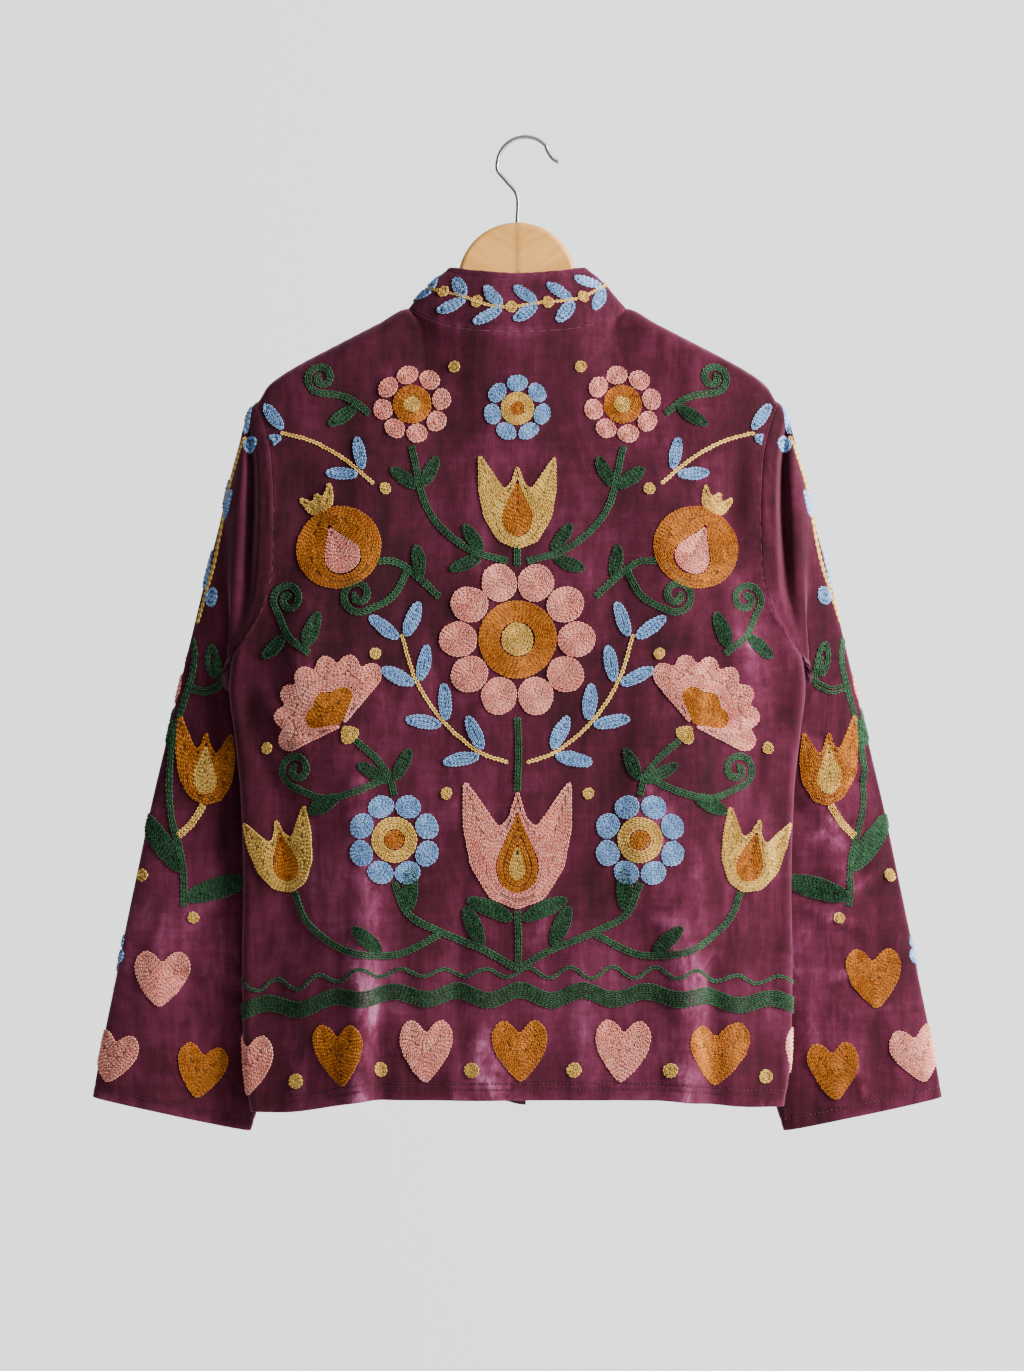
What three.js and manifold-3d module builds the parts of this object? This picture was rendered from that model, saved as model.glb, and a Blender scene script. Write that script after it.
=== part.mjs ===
// A short velvet jacket with a stand collar, open down the front, hanging on a flat wooden hanger.
// Millimetres, +Z up. The origin is the inside of the hook's crown, where the hook hangs on a nail or a rail.
// The jacket's back faces -Y, its fronts face +Y, and the wearer's right is +X.
//
// Every cloth piece is a grid of points on its outer face, moved inwards by the wall to make the inner face.
// Neighbouring pieces share the points of their seam, so the seam runs true along its whole length.
import * as THREE from "three";
import { mergeVertices } from "three/addons/utils/BufferGeometryUtils.js";
import Module from "manifold-3d";

// Driving dimensions
const WALL = 2.2; // velvet with its cotton backing
const SEAM_GAP = 0.3; // between two pieces at a seam
const CENTRE_X = -7; // the hanger's stem and the jacket's middle
const TIP_Z = -225; // the shoulder seam's outer end
const UNDERARM_Z = -447; // where side seam, armhole and sleeve seam meet
const TIP_HALF = 223; // half the width across the shoulder tips
const NECK_HALF = 93; // half the width between the neck points
const NECK_POINT_Z = -145;
const BACK_NECK_Z = -165.7; // the neckline at the middle of the back
const BACK_NECK_Y = -24;
const FRONT_NECK_Z = -222; // the neckline at the front edges
const FRONT_NECK_Y = 16;
const NECK_CROSSING = 0.06; // the share of the front neckline that crosses over the hanger before it falls
const RIDGE_RADIUS = 11; // how the shoulder turns over the hanger
const SIDE_RADIUS = 8; // how the body turns at the side seam
const COLLAR_HEIGHT = 48;
const COLLAR_LEAN = 0.36; // the share of its half-width that the collar loses to its top edge
const COLLAR_BOW = 1.6; // how far the band stands out between its two edges

// The body by the height of its edge. half is half the width, back and front are the depths of the panels' middle,
// and backEdge and frontEdge are the depths of their edges: one line up the side seam, two round the armhole.
const BODY = [
  { z: -826, half: 227, back: -47, backEdge: -17, frontEdge: -17, front: 13 },
  { z: -808, half: 230, back: -47, backEdge: -17, frontEdge: -17, front: 13 },
  { z: -775, half: 233, back: -47, backEdge: -17, frontEdge: -17, front: 13 },
  { z: -700, half: 234, back: -47, backEdge: -17, frontEdge: -17, front: 14 },
  { z: -640, half: 233, back: -48, backEdge: -17, frontEdge: -17, front: 14 },
  { z: -565, half: 235, back: -48, backEdge: -17, frontEdge: -17, front: 14 },
  { z: -505, half: 241, back: -46, backEdge: -17, frontEdge: -17, front: 14 },
  { z: -470, half: 245, back: -44, backEdge: -17, frontEdge: -17, front: 14 },
  { z: -447, half: 243, back: -43, backEdge: -17, frontEdge: -17, front: 14 },
  { z: -425, half: 230, back: -41, backEdge: -22, frontEdge: -11, front: 14 },
  { z: -400, half: 216, back: -39, backEdge: -24, frontEdge: -4, front: 14 },
  { z: -365, half: 208, back: -36, backEdge: -24, frontEdge: 5, front: 14 },
  { z: -318, half: 207, back: -33, backEdge: -22, frontEdge: 11, front: 14 },
  { z: -275, half: 209, back: -29, backEdge: -18, frontEdge: 11, front: 14 },
  { z: -250, half: 214, back: -27, backEdge: -14.5, frontEdge: 11, front: 14 },
  { z: -237, half: 218, back: -26, backEdge: -11.5, frontEdge: 10.5, front: 14 },
  { z: -229, half: 221.5, back: -25, backEdge: -9, frontEdge: 9, front: 14 },
  { z: -226.5, half: 222.6, back: -25, backEdge: -6, frontEdge: 6, front: 14 },
  { z: -225, half: 223, back: -25, backEdge: 0, frontEdge: 0, front: 14 },
  { z: -145, half: 223, back: -20, backEdge: 0, frontEdge: 0, front: 13 },
];

// The heights of the rows of points at a body panel's edge, from the hem to the underarm and on to the shoulder tip.
const SIDE_ROWS = [-826, -815, -795, -765, -730, -692, -655, -618, -583, -550, -520, -494, -470];
const ARMHOLE_ROWS = [-447, -434, -419, -402, -382, -358, -332, -306, -282, -262, -247, -237, -230.5, -226.5, -225];
const ROWS = [...SIDE_ROWS, ...ARMHOLE_ROWS];

// The columns of points, as shares of the half-width: the shoulder's from the edge to the neck point, then the neck's.
const NECK_SHARE = NECK_HALF / TIP_HALF;
const SHOULDER_COLUMNS = [1, 0.994, 0.98, 0.957, 0.92, 0.865, 0.8, 0.73, 0.65, 0.57, 0.49, NECK_SHARE];
const NECK_COLUMNS = [0.408, 0.392, 0.35, 0.28, 0.19, 0.1];

// The shoulder's outer line, by the distance from the jacket's middle.
const SHOULDER = [
  { x: 93, z: -145 },
  { x: 118, z: -157.5 },
  { x: 156, z: -177 },
  { x: 182, z: -190.5 },
  { x: 200, z: -201 },
  { x: 213, z: -211 },
  { x: 223, z: -225 },
];

// How far the hem lies above its lowest row of points, at the middle and at each side.
const HEM_RISE = { middle: 9, left: -3, right: 1.5 };

// The fronts meet edge to edge, and one hangs lower at its edge. An edge's place is measured from the middle.
const FRONTS = {
  left: { side: -1, edgeHem: 7.4, edgeNeck: -0.6, edgeDrop: -7 },
  right: { side: 1, edgeHem: 10, edgeNeck: 1.6, edgeDrop: 1 },
};

// The largest folds of the back, as soft ridges (rise above 0) and troughs, each from its foot at the hem or the
// height `from` up to `to`; x is measured from the jacket's middle, and lean moves it over that height.
const BACK_FOLDS = [
  { x: -134, lean: 6, from: -850, to: -600, width: 15, rise: 8 },
  { x: -119, lean: 6, from: -850, to: -660, width: 12, rise: -7 },
  { x: -30, lean: -8, from: -850, to: -690, width: 26, rise: 4 },
  { x: 147, lean: -10, from: -850, to: -560, width: 16, rise: 7 },
  { x: 163, lean: 0, from: -850, to: -640, width: 12, rise: -8 },
  { x: 92, lean: 20, from: -700, to: -400, width: 24, rise: 5 },
  { x: 198, lean: -34, from: -500, to: -300, width: 15, rise: 6 },
  { x: -196, lean: 30, from: -500, to: -310, width: 16, rise: 5 },
  { x: 178, lean: 14, from: -370, to: -215, width: 13, rise: -5 },
  { x: -176, lean: -10, from: -380, to: -215, width: 15, rise: -4 },
];

// The sleeve by its rings, from the armhole to the cuff. outX, outZ is the ring's outer end and inX, inZ its inner end,
// measured from the jacket's middle; outY and inY are their depths, deep is half the ring's thickness there, and
// groove pushes the ring's back in, where the sleeve's head rolls over and folds beside its seam.
const SLEEVE = [
  { outX: 226, outZ: -228, outY: 0, inX: 245.5, inZ: -449.5, inY: -15, deep: 14, groove: -2 },
  { outX: 229, outZ: -233, outY: 0, inX: 247.5, inZ: -452, inY: -12.5, deep: 14, groove: -2 },
  { outX: 231.5, outZ: -238.5, outY: 0, inX: 249, inZ: -455.5, inY: -9.5, deep: 14, groove: 11 },
  { outX: 234, outZ: -246, outY: 0, inX: 250, inZ: -460, inY: -6, deep: 14.5, groove: -2 },
  { outX: 237.5, outZ: -260, outY: 1, inX: 249.5, inZ: -466.5, inY: -2, deep: 15, groove: -3 },
  { outX: 245.5, outZ: -289, outY: 2, inX: 245, inZ: -477, inY: 3, deep: 15, groove: -2 },
  { outX: 255, outZ: -330, outY: 4, inX: 237, inZ: -491, inY: 6, deep: 14.5, groove: 0 },
  { outX: 267, outZ: -376, outY: 6, inX: 223, inZ: -508, inY: 8, deep: 14.5, groove: 0 },
  { outX: 279, outZ: -425, outY: 8, inX: 206, inZ: -527, inY: 9, deep: 14.5, groove: 0 },
  { outX: 291, outZ: -475, outY: 8, inX: 192, inZ: -552, inY: 9, deep: 14.5, groove: 0 },
  { outX: 303, outZ: -525, outY: 8, inX: 182, inZ: -582, inY: 9, deep: 14.5, groove: 0 },
  { outX: 314, outZ: -572, outY: 8, inX: 177, inZ: -614, inY: 9, deep: 14.5, groove: 0 },
  { outX: 324, outZ: -620, outY: 8, inX: 178, inZ: -651, inY: 9, deep: 14.5, groove: 0 },
  { outX: 334, outZ: -668, outY: 8, inX: 185, inZ: -693, inY: 9, deep: 14.5, groove: 0 },
  { outX: 343, outZ: -714, outY: 7, inX: 196, inZ: -739, inY: 9, deep: 14.5, groove: 0 },
  { outX: 352, outZ: -758, outY: 7, inX: 209, inZ: -783, inY: 8, deep: 14.5, groove: 0 },
  { outX: 359, outZ: -794, outY: 6, inX: 220, inZ: -822, inY: 8, deep: 14.5, groove: 0 },
  { outX: 363.5, outZ: -819, outY: 6, inX: 228, inZ: -848, inY: 7, deep: 14.5, groove: 0 },
];
const SLEEVE_BLEND = 6; // the rings over which the armhole's shape turns into the sleeve's flat ring

// The hanger
const WOOD = {
  thick: 12,
  round: 4, // the rounding of its long edges
  neckTop: -71.4,
  neckRadius: 51,
  neckFoot: { x: 56, z: -130 }, // where the neck's curve meets the arm
  armEnd: 205,
  armEndHeight: 20,
  notch: -113, // the underside at its middle
  armBelly: { x: 93, z: -171 }, // the underside under the neck point
  slack: 0.9, // between an arm and the cloth that lies on it
};
const WIRE = 3.5; // the hook's wire
const HOOK = {
  crownX: 0,
  loopRadius: 24, // to the wire's middle
  stemFoot: -96, // the end of the stem inside the wood
  bendZ: -49, // where the stem leaves the upright
  throat: { x: -22.5, z: -28 },
  tip: [
    { x: 18.6, z: -9.4 },
    { x: 23.6, z: -17 },
    { x: 29, z: -20.2 },
  ],
};

const vec = (x, y, z) => new THREE.Vector3(x, y, z);
const lerp = THREE.MathUtils.lerp;
const smooth = (t) => THREE.MathUtils.smoothstep(t, 0, 1);
const bell = (t) => Math.exp(-t * t);

// A column of a table as a smooth function of another column, which grows or falls from row to row.
function curve(table, by, name) {
  const rows = [...table].sort((a, b) => a[by] - b[by]);
  const at = rows.map((r) => r[by]);
  const value = rows.map((r) => r[name]);
  const slope = value.map((v, i) => {
    if (i === 0 || i === rows.length - 1) return 0;
    const before = (v - value[i - 1]) / (at[i] - at[i - 1]);
    const after = (value[i + 1] - v) / (at[i + 1] - at[i]);
    return before * after <= 0 ? 0 : (2 * before * after) / (before + after);
  });
  return (place) => {
    if (place <= at[0]) return value[0];
    if (place >= at[at.length - 1]) return value[value.length - 1];
    const i = at.findIndex((a) => a > place) - 1;
    const step = at[i + 1] - at[i];
    const t = (place - at[i]) / step;
    return (
      value[i] * (1 + 2 * t) * (1 - t) ** 2 +
      slope[i] * step * t * (1 - t) ** 2 +
      value[i + 1] * t * t * (3 - 2 * t) +
      slope[i + 1] * step * t * t * (t - 1)
    );
  };
}

const half = curve(BODY, "z", "half");
const backDepth = curve(BODY, "z", "back");
const frontDepth = curve(BODY, "z", "front");
const backEdge = curve(BODY, "z", "backEdge");
const frontEdge = curve(BODY, "z", "frontEdge");
const shoulderZ = curve(SHOULDER, "x", "z");

// A quarter turn of the radius: 0 at the edge, and the radius from there on.
const quarter = (distance, radius) =>
  distance < radius ? Math.sqrt(radius ** 2 - (radius - distance) ** 2) : radius;

// The share that the top edge's shape has in a row: none in the lower body, all of it near the shoulder.
const topShare = (edgeZ) => smooth((edgeZ + 560) / 290);

// 1 where the panels meet in a side seam, falling to 0 a little way up the armhole.
const seamShare = (edgeZ) => 1 - smooth((edgeZ - UNDERARM_Z) / 25);

// The share that the hem's line has in a row.
const hemShare = (edgeZ) => smooth((-690 - edgeZ) / 136);

const hemRise = (side, share) =>
  lerp(HEM_RISE.middle, side < 0 ? HEM_RISE.left : HEM_RISE.right, smooth((share - 0.5) / 0.4));

function backFolds(x, z) {
  return BACK_FOLDS.reduce((sum, f) => {
    const along = (z - f.from) / (f.to - f.from);
    if (along > 1 || along < 0) return sum;
    const foot = f.from < -826 ? 1 : smooth(along / 0.35);
    return sum - f.rise * foot * smooth((1 - along) / 0.7) * bell((x - f.x - f.lean * along) / f.width);
  }, 0);
}

// The height of the back's top edge: the shoulder line, and the neckline between the neck points.
function backTop(share) {
  if (share >= NECK_SHARE) return shoulderZ(share * TIP_HALF);
  const t = share / NECK_SHARE;
  return BACK_NECK_Z + (NECK_POINT_Z - BACK_NECK_Z) * t ** 3.2;
}

function backPoint(signedShare, edgeZ) {
  const share = Math.abs(signedShare);
  const side = Math.sign(signedShare);
  const width = half(edgeZ);
  const x = side * share * width;
  const top = backTop(share);
  const z = edgeZ + (top - TIP_Z) * topShare(edgeZ) + hemRise(side, share) * hemShare(edgeZ);
  const below = top - z;
  const neckY = share < NECK_SHARE ? -BACK_NECK_Y * Math.sqrt(1 - (share / NECK_SHARE) ** 2.2) : 0;
  const start = Math.max(neckY, quarter(below, RIDGE_RADIUS));
  const inner = start + (-backDepth(z) - start) * smooth(below / 150);
  const inset = width * (1 - share);
  const turn = SIDE_RADIUS * seamShare(edgeZ);
  const edge = -backEdge(edgeZ);
  const round = turn > 0.01 ? quarter(inset, turn) : 0;
  const depth = edge + round + (inner - edge - turn) * smooth(inset / 105);
  return vec(CENTRE_X + x, -depth + backFolds(x, z) * smooth(below / 40) * smooth(inset / 20), z);
}

// A front panel's share runs from 1 at the side to the neck point's share, then on to 0 at its front edge.
function frontPoint(front, share, edgeZ) {
  const width = half(edgeZ);
  const inNeck = share < NECK_SHARE;
  const t = share / NECK_SHARE;
  const edgeX = lerp(front.edgeNeck, front.edgeHem, (TIP_Z - edgeZ) / (TIP_Z - ROWS[0]));
  const x = inNeck ? lerp(edgeX, front.side * NECK_SHARE * width, t) : front.side * share * width;
  const fall = 1 - Math.max(0, (1 - t - NECK_CROSSING) / (1 - NECK_CROSSING));
  const top = inNeck ? FRONT_NECK_Z + (NECK_POINT_Z - FRONT_NECK_Z) * fall ** 2 : shoulderZ(share * TIP_HALF);
  const hem = hemRise(front.side, share) + front.edgeDrop * (1 - smooth(share / 0.17));
  const z = edgeZ + (top - TIP_Z) * topShare(edgeZ) + hem * hemShare(edgeZ);
  const below = top - z;
  const neckY = inNeck ? FRONT_NECK_Y * Math.sqrt(1 - t ** 6) : 0;
  const start = Math.max(neckY, quarter(below, RIDGE_RADIUS));
  const inner = start + (frontDepth(z) - start) * smooth(below / 60);
  const inset = width * (1 - share);
  const joined = seamShare(edgeZ);
  const turn = SIDE_RADIUS * joined;
  const edge = frontEdge(edgeZ);
  const round = turn > 0.01 ? quarter(inset, turn) : 0;
  const depth = edge + round + (inner - edge - turn) * smooth((inset - 38 * joined) / (52 + 22 * joined));
  return vec(CENTRE_X + x, depth, z);
}

// A grid of points: points[row][column], its outward normals, and which of its borders lie on seams.
function grid(points, { ring = false, flip = false } = {}) {
  const rows = points.length;
  const columns = points[0].length;
  const at = (r, c) => points[r][ring ? (c + columns) % columns : Math.min(Math.max(c, 0), columns - 1)];
  const normals = points.map((row, r) =>
    row.map((_, c) => {
      const across = at(r, c + 1).clone().sub(at(r, c - 1));
      const along = at(Math.min(r + 1, rows - 1), c).clone().sub(at(Math.max(r - 1, 0), c));
      return across.cross(along).normalize().multiplyScalar(flip ? -1 : 1);
    })
  );
  return { points, normals, ring, flip, rows, columns };
}

// Gives the shared points of a seam one mitred normal. Each place is a list of [grid, row, column].
function mitre(places) {
  const own = places.map(([g, r, c]) => g.normals[r][c].clone());
  places.forEach(([g, r, c], i) => {
    const sum = own[i].clone();
    own.forEach((other, j) => {
      if (j !== i) sum.addScaledVector(other, smooth((own[i].dot(other) + 0.5) / 0.6));
    });
    g.normals[r][c].copy(sum.normalize());
  });
}

// Pulls a border's points back into their own piece by half the seam gap.
function pullBack(g, places, towards) {
  const moves = places.map(([r, c], i) => {
    const point = g.points[r][c];
    const [nr, nc] = towards(r, c);
    const before = places[Math.max(i - 1, 0)];
    const after = places[Math.min(i + 1, places.length - 1)];
    const along = g.points[after[0]][after[1]].clone().sub(g.points[before[0]][before[1]]).normalize();
    const normal = g.normals[r][c];
    const move = g.points[nr][nc].clone().sub(point);
    move.addScaledVector(along, -move.dot(along)).addScaledVector(normal, -move.dot(normal));
    return move.normalize().multiplyScalar(SEAM_GAP / 2);
  });
  places.forEach(([r, c], i) => {
    g.points[r][c] = g.points[r][c].clone().add(moves[i]);
  });
}

// The closed wall between a grid's points and the same points moved inwards.
function wall(g) {
  const inner = g.points.map((row, r) => row.map((p, c) => p.clone().addScaledVector(g.normals[r][c], -WALL)));
  const positions = [];
  [g.points, inner].forEach((layer) => layer.forEach((row) => row.forEach((p) => positions.push(p.x, p.y, p.z))));
  const count = g.rows * g.columns;
  const index = [];
  const corner = (i) => vec(positions[3 * i], positions[3 * i + 1], positions[3 * i + 2]);
  const triangle = (a, b, c) => (g.flip ? index.push(a, c, b) : index.push(a, b, c));
  const quad = (a, b, c, d) => {
    const turned = corner(a).distanceTo(corner(c)) > corner(b).distanceTo(corner(d));
    triangle(a, b, turned ? d : c);
    triangle(turned ? b : a, c, d);
  };
  const spans = g.ring ? g.columns : g.columns - 1;
  for (let r = 0; r < g.rows - 1; r++) {
    for (let c = 0; c < spans; c++) {
      const next = (c + 1) % g.columns;
      const a = r * g.columns + c;
      const b = r * g.columns + next;
      const d = (r + 1) * g.columns + c;
      const e = (r + 1) * g.columns + next;
      quad(a, b, e, d);
      quad(count + a, count + d, count + e, count + b);
    }
  }
  for (let c = 0; c < spans; c++) {
    const next = (c + 1) % g.columns;
    const top = (g.rows - 1) * g.columns;
    quad(count + c, count + next, next, c);
    quad(top + c, top + next, count + top + next, count + top + c);
  }
  if (!g.ring) {
    for (let r = 0; r < g.rows - 1; r++) {
      const low = r * g.columns;
      const high = (r + 1) * g.columns;
      const last = g.columns - 1;
      quad(low, high, count + high, count + low);
      quad(low + last, count + low + last, count + high + last, high + last);
    }
  }
  const geometry = new THREE.BufferGeometry();
  geometry.setAttribute("position", new THREE.Float32BufferAttribute(positions, 3));
  geometry.setIndex(index);
  return geometry;
}

const mirrored = (list) => [...list.map((s) => -s), 0, ...[...list].reverse()];
const BACK_COLUMNS = mirrored([...SHOULDER_COLUMNS, ...NECK_COLUMNS]);
const FRONT_COLUMNS = [...SHOULDER_COLUMNS, ...NECK_COLUMNS, 0];

const back = grid(ROWS.map((z) => BACK_COLUMNS.map((share) => backPoint(share, z))));
const frontLeft = grid(ROWS.map((z) => FRONT_COLUMNS.map((share) => frontPoint(FRONTS.left, share, z))), { flip: true });
const frontRight = grid(ROWS.map((z) => FRONT_COLUMNS.map((share) => frontPoint(FRONTS.right, share, z))));

// The armhole as a loop of body points: down the back from the shoulder tip, and up the front.
const LAST = ROWS.length - 1;
const UNDERARM = SIDE_ROWS.length;
const armholeRows = ARMHOLE_ROWS.map((_, i) => LAST - i);
function armhole(side) {
  const front = side < 0 ? frontLeft : frontRight;
  const column = side < 0 ? 0 : back.columns - 1;
  const down = armholeRows.map((r) => ({ row: r, panel: back, column }));
  const up = [...armholeRows].reverse().slice(1, -1).map((r) => ({ row: r, panel: front, column: 0 }));
  return [...down, ...up];
}

function sleeveGrid(side) {
  const loop = armhole(side);
  const first = loop.map((p) => p.panel.points[p.row][p.column]);
  const tip = first[0];
  const pit = first[armholeRows.length - 1];
  const shares = loop.map((p) => (TIP_Z - ROWS[p.row]) / (TIP_Z - UNDERARM_Z));
  const rings = SLEEVE.map((s, k) => {
    const out = vec(CENTRE_X + side * s.outX, s.outY, s.outZ);
    const inn = vec(CENTRE_X + side * s.inX, s.inY, s.inZ);
    const kept = 1 - smooth((k + 1) / SLEEVE_BLEND);
    return shares.map((share, i) => {
      const onBack = i < armholeRows.length;
      const chord = out.clone().lerp(inn, share);
      const thick = s.deep * Math.sqrt(4 * share * (1 - share)) ** 0.8;
      const flat = chord.clone();
      flat.y += onBack ? -thick : thick;
      const moved = first[i].clone().add(chord).sub(tip.clone().lerp(pit, share));
      flat.lerp(moved, kept);
      if (onBack) flat.y += s.groove * Math.sin(Math.PI * Math.min(share ** 0.8 * 1.15, 1));
      return flat;
    });
  });
  const made = grid([first.map((p) => p.clone()), ...rings], { ring: true, flip: side > 0 });
  made.normals.forEach((row) => row.forEach((n) => n.negate()));
  made.flip = !made.flip;
  return made;
}
const sleeveLeft = sleeveGrid(-1);
const sleeveRight = sleeveGrid(1);

// The collar stands on the neckline, from the left front edge round the back to the right front edge.
const NECK_START = SHOULDER_COLUMNS.length - 1;
const frontNeck = FRONT_COLUMNS.map((_, c) => c).slice(NECK_START);
const backNeck = BACK_COLUMNS.map((_, c) => c).filter((c) => Math.abs(BACK_COLUMNS[c]) <= NECK_SHARE + 1e-9);
const collarBase = [
  ...[...frontNeck].reverse().map((c) => ({ panel: frontLeft, column: c })),
  ...backNeck.slice(1, -1).map((c) => ({ panel: back, column: c })),
  ...frontNeck.map((c) => ({ panel: frontRight, column: c })),
];
const COLLAR_ROWS = [0, 0.25, 0.5, 0.75, 1];
const collar = grid(
  COLLAR_ROWS.map((h) =>
    collarBase.map(({ panel, column }) => {
      const foot = panel.points[LAST][column];
      const inX = -COLLAR_LEAN * (foot.x - CENTRE_X);
      const inY = foot.y < 0 ? 3.5 * smooth(-foot.y / 20) : -2 * smooth(foot.y / 10);
      const rise = Math.sqrt(COLLAR_HEIGHT ** 2 - inX ** 2 - inY ** 2);
      const bow = COLLAR_BOW * Math.sin(Math.PI * h);
      const out = vec(foot.x - CENTRE_X, foot.y * 3, 0).normalize();
      return foot.clone().add(vec(inX * h + out.x * bow, inY * h + out.y * bow, rise * h));
    })
  )
);

// The seams: each shared point with the pieces that meet there.
for (const side of [-1, 1]) {
  const front = side < 0 ? frontLeft : frontRight;
  const sleeve = side < 0 ? sleeveLeft : sleeveRight;
  const edge = side < 0 ? 0 : back.columns - 1;
  for (let r = 0; r < UNDERARM; r++) mitre([[back, r, edge], [front, r, 0]]);
  armhole(side).forEach((p, i) => {
    const ends = i === 0 || i === armholeRows.length - 1;
    mitre(ends ? [[back, p.row, edge], [front, p.row, 0], [sleeve, 0, i]] : [[p.panel, p.row, p.column], [sleeve, 0, i]]);
  });
  for (let c = 1; c < NECK_START; c++) {
    mitre([[back, LAST, side < 0 ? c : back.columns - 1 - c], [front, LAST, c]]);
  }
}
collarBase.forEach(({ panel, column }, i) => {
  const places = [[panel, LAST, column], [collar, 0, i]];
  if (column === NECK_START && panel !== back) {
    places.push([back, LAST, panel === frontLeft ? NECK_START : back.columns - 1 - NECK_START]);
  }
  mitre(places);
});

const rowPlaces = (g, r) => Array.from({ length: g.columns }, (_, c) => [r, c]);
const columnPlaces = (g, c) => Array.from({ length: g.rows }, (_, r) => [r, c]);
for (const panel of [back, frontLeft, frontRight]) {
  pullBack(panel, rowPlaces(panel, LAST), (r, c) => [r - 1, c]);
  pullBack(panel, columnPlaces(panel, 0), (r, c) => [r, c + 1]);
}
pullBack(back, columnPlaces(back, back.columns - 1), (r, c) => [r, c - 1]);
pullBack(collar, rowPlaces(collar, 0), (r, c) => [r + 1, c]);
for (const sleeve of [sleeveLeft, sleeveRight]) pullBack(sleeve, rowPlaces(sleeve, 0), (r, c) => [r + 1, c]);

// The hanger: one flat board with rounded edges, drilled for the hook's stem.
function woodOutline() {
  const arm = (x) => shoulderZ(x) - WALL / Math.cos(Math.atan(0.51)) - WOOD.slack;
  const right = [];
  for (let i = 0; i <= 10; i++) {
    const angle = (i / 10) * 1.62;
    right.push([WOOD.neckRadius * Math.sin(angle), WOOD.neckTop - WOOD.neckRadius * (1 - Math.cos(angle))]);
  }
  right.push([WOOD.neckFoot.x - 2.5, WOOD.neckFoot.z + 2.2], [WOOD.neckFoot.x + 4, WOOD.neckFoot.z - 2.4]);
  right.push([78, arm(NECK_HALF) + 4.5], [87, arm(NECK_HALF) - 1.6], [98, arm(98) - 1]);
  [118, 150, 182, 196].forEach((x) => right.push([x, arm(x)]));
  const endTop = arm(WOOD.armEnd) - 1.5;
  right.push([WOOD.armEnd, endTop], [WOOD.armEnd + 2, endTop - 7], [WOOD.armEnd, endTop - WOOD.armEndHeight + 3]);
  right.push([WOOD.armEnd - 6, endTop - WOOD.armEndHeight], [WOOD.armBelly.x, WOOD.armBelly.z], [0, WOOD.notch]);
  const left = right.slice(1, -1).reverse().map(([x, z]) => [-x, z]);
  return [...right, ...left];
}

function hangerGeometry(wasm) {
  const inset = WOOD.round;
  const outline = woodOutline().map(([x, z]) => new THREE.Vector2(x, z));
  const board = new THREE.ExtrudeGeometry(new THREE.Shape(outline), {
    depth: WOOD.thick - 2 * inset,
    bevelThickness: inset,
    bevelSize: inset,
    bevelOffset: -inset,
    bevelSegments: 3,
    curveSegments: 1,
  });
  board.rotateX(Math.PI / 2).translate(CENTRE_X, WOOD.thick / 2 - inset, 0);
  const hole = new THREE.CylinderGeometry(WIRE / 2 + SEAM_GAP, WIRE / 2 + SEAM_GAP, 40, 16);
  hole.rotateX(Math.PI / 2).translate(CENTRE_X, 0, HOOK.stemFoot - SEAM_GAP + 20);
  return geometryOf(solidOf(wasm, board).subtract(solidOf(wasm, hole)));
}

function solidOf(wasm, geometry) {
  const bare = geometry.index ? geometry.toNonIndexed() : geometry.clone();
  bare.deleteAttribute("normal").deleteAttribute("uv");
  const merged = mergeVertices(bare, 1e-3);
  const mesh = { numProp: 3, vertProperties: merged.attributes.position.array, triVerts: new Uint32Array(merged.index.array) };
  return new wasm.Manifold(new wasm.Mesh(mesh));
}

function geometryOf(solid) {
  const mesh = solid.getMesh();
  const geometry = new THREE.BufferGeometry();
  geometry.setAttribute("position", new THREE.Float32BufferAttribute(mesh.vertProperties, 3));
  geometry.setIndex([...mesh.triVerts]);
  return geometry;
}

// The hook: one wire, up from the wood, round the crown and out to its flicked tip.
function hookGeometry() {
  const centre = { x: HOOK.crownX, z: WIRE / 2 - HOOK.loopRadius };
  const path = [vec(CENTRE_X, 0, HOOK.stemFoot), vec(CENTRE_X, 0, HOOK.stemFoot + 24), vec(CENTRE_X, 0, HOOK.bendZ)];
  path.push(vec(lerp(CENTRE_X, HOOK.throat.x, 0.55), 0, lerp(HOOK.bendZ, HOOK.throat.z, 0.5) + 1.5));
  for (let degrees = 192; degrees >= 45; degrees -= 21) {
    const angle = THREE.MathUtils.degToRad(degrees);
    path.push(vec(centre.x + HOOK.loopRadius * Math.cos(angle), 0, centre.z + HOOK.loopRadius * Math.sin(angle)));
  }
  HOOK.tip.forEach((p) => path.push(vec(p.x, 0, p.z)));
  const section = new THREE.Shape();
  section.absarc(0, 0, WIRE / 2, 0, 2 * Math.PI);
  const line = new THREE.CatmullRomCurve3(path, false, "centripetal");
  return new THREE.ExtrudeGeometry(section, { steps: 56, curveSegments: 5, extrudePath: line, bevelEnabled: false });
}

const finish = (color, roughness, metalness = 0) => new THREE.MeshStandardMaterial({ color, roughness, metalness });
const velvet = finish(0x5c2036, 0.9);
const beech = finish(0xd9a86a, 0.45);
const steel = finish(0xb9b6b0, 0.3, 1);

const wasm = await Module();
wasm.setup();

const jacket = new THREE.Group();
function add(name, geometry, material) {
  const mesh = new THREE.Mesh(geometry, material);
  mesh.name = name;
  jacket.add(mesh);
}
add("back_panel", wall(back), velvet);
add("front_left", wall(frontLeft), velvet);
add("front_right", wall(frontRight), velvet);
add("sleeve_left", wall(sleeveLeft), velvet);
add("sleeve_right", wall(sleeveRight), velvet);
add("collar", wall(collar), velvet);
add("hanger_body", hangerGeometry(wasm), beech);
add("hanger_hook", hookGeometry(), steel);

export default jacket;
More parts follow.
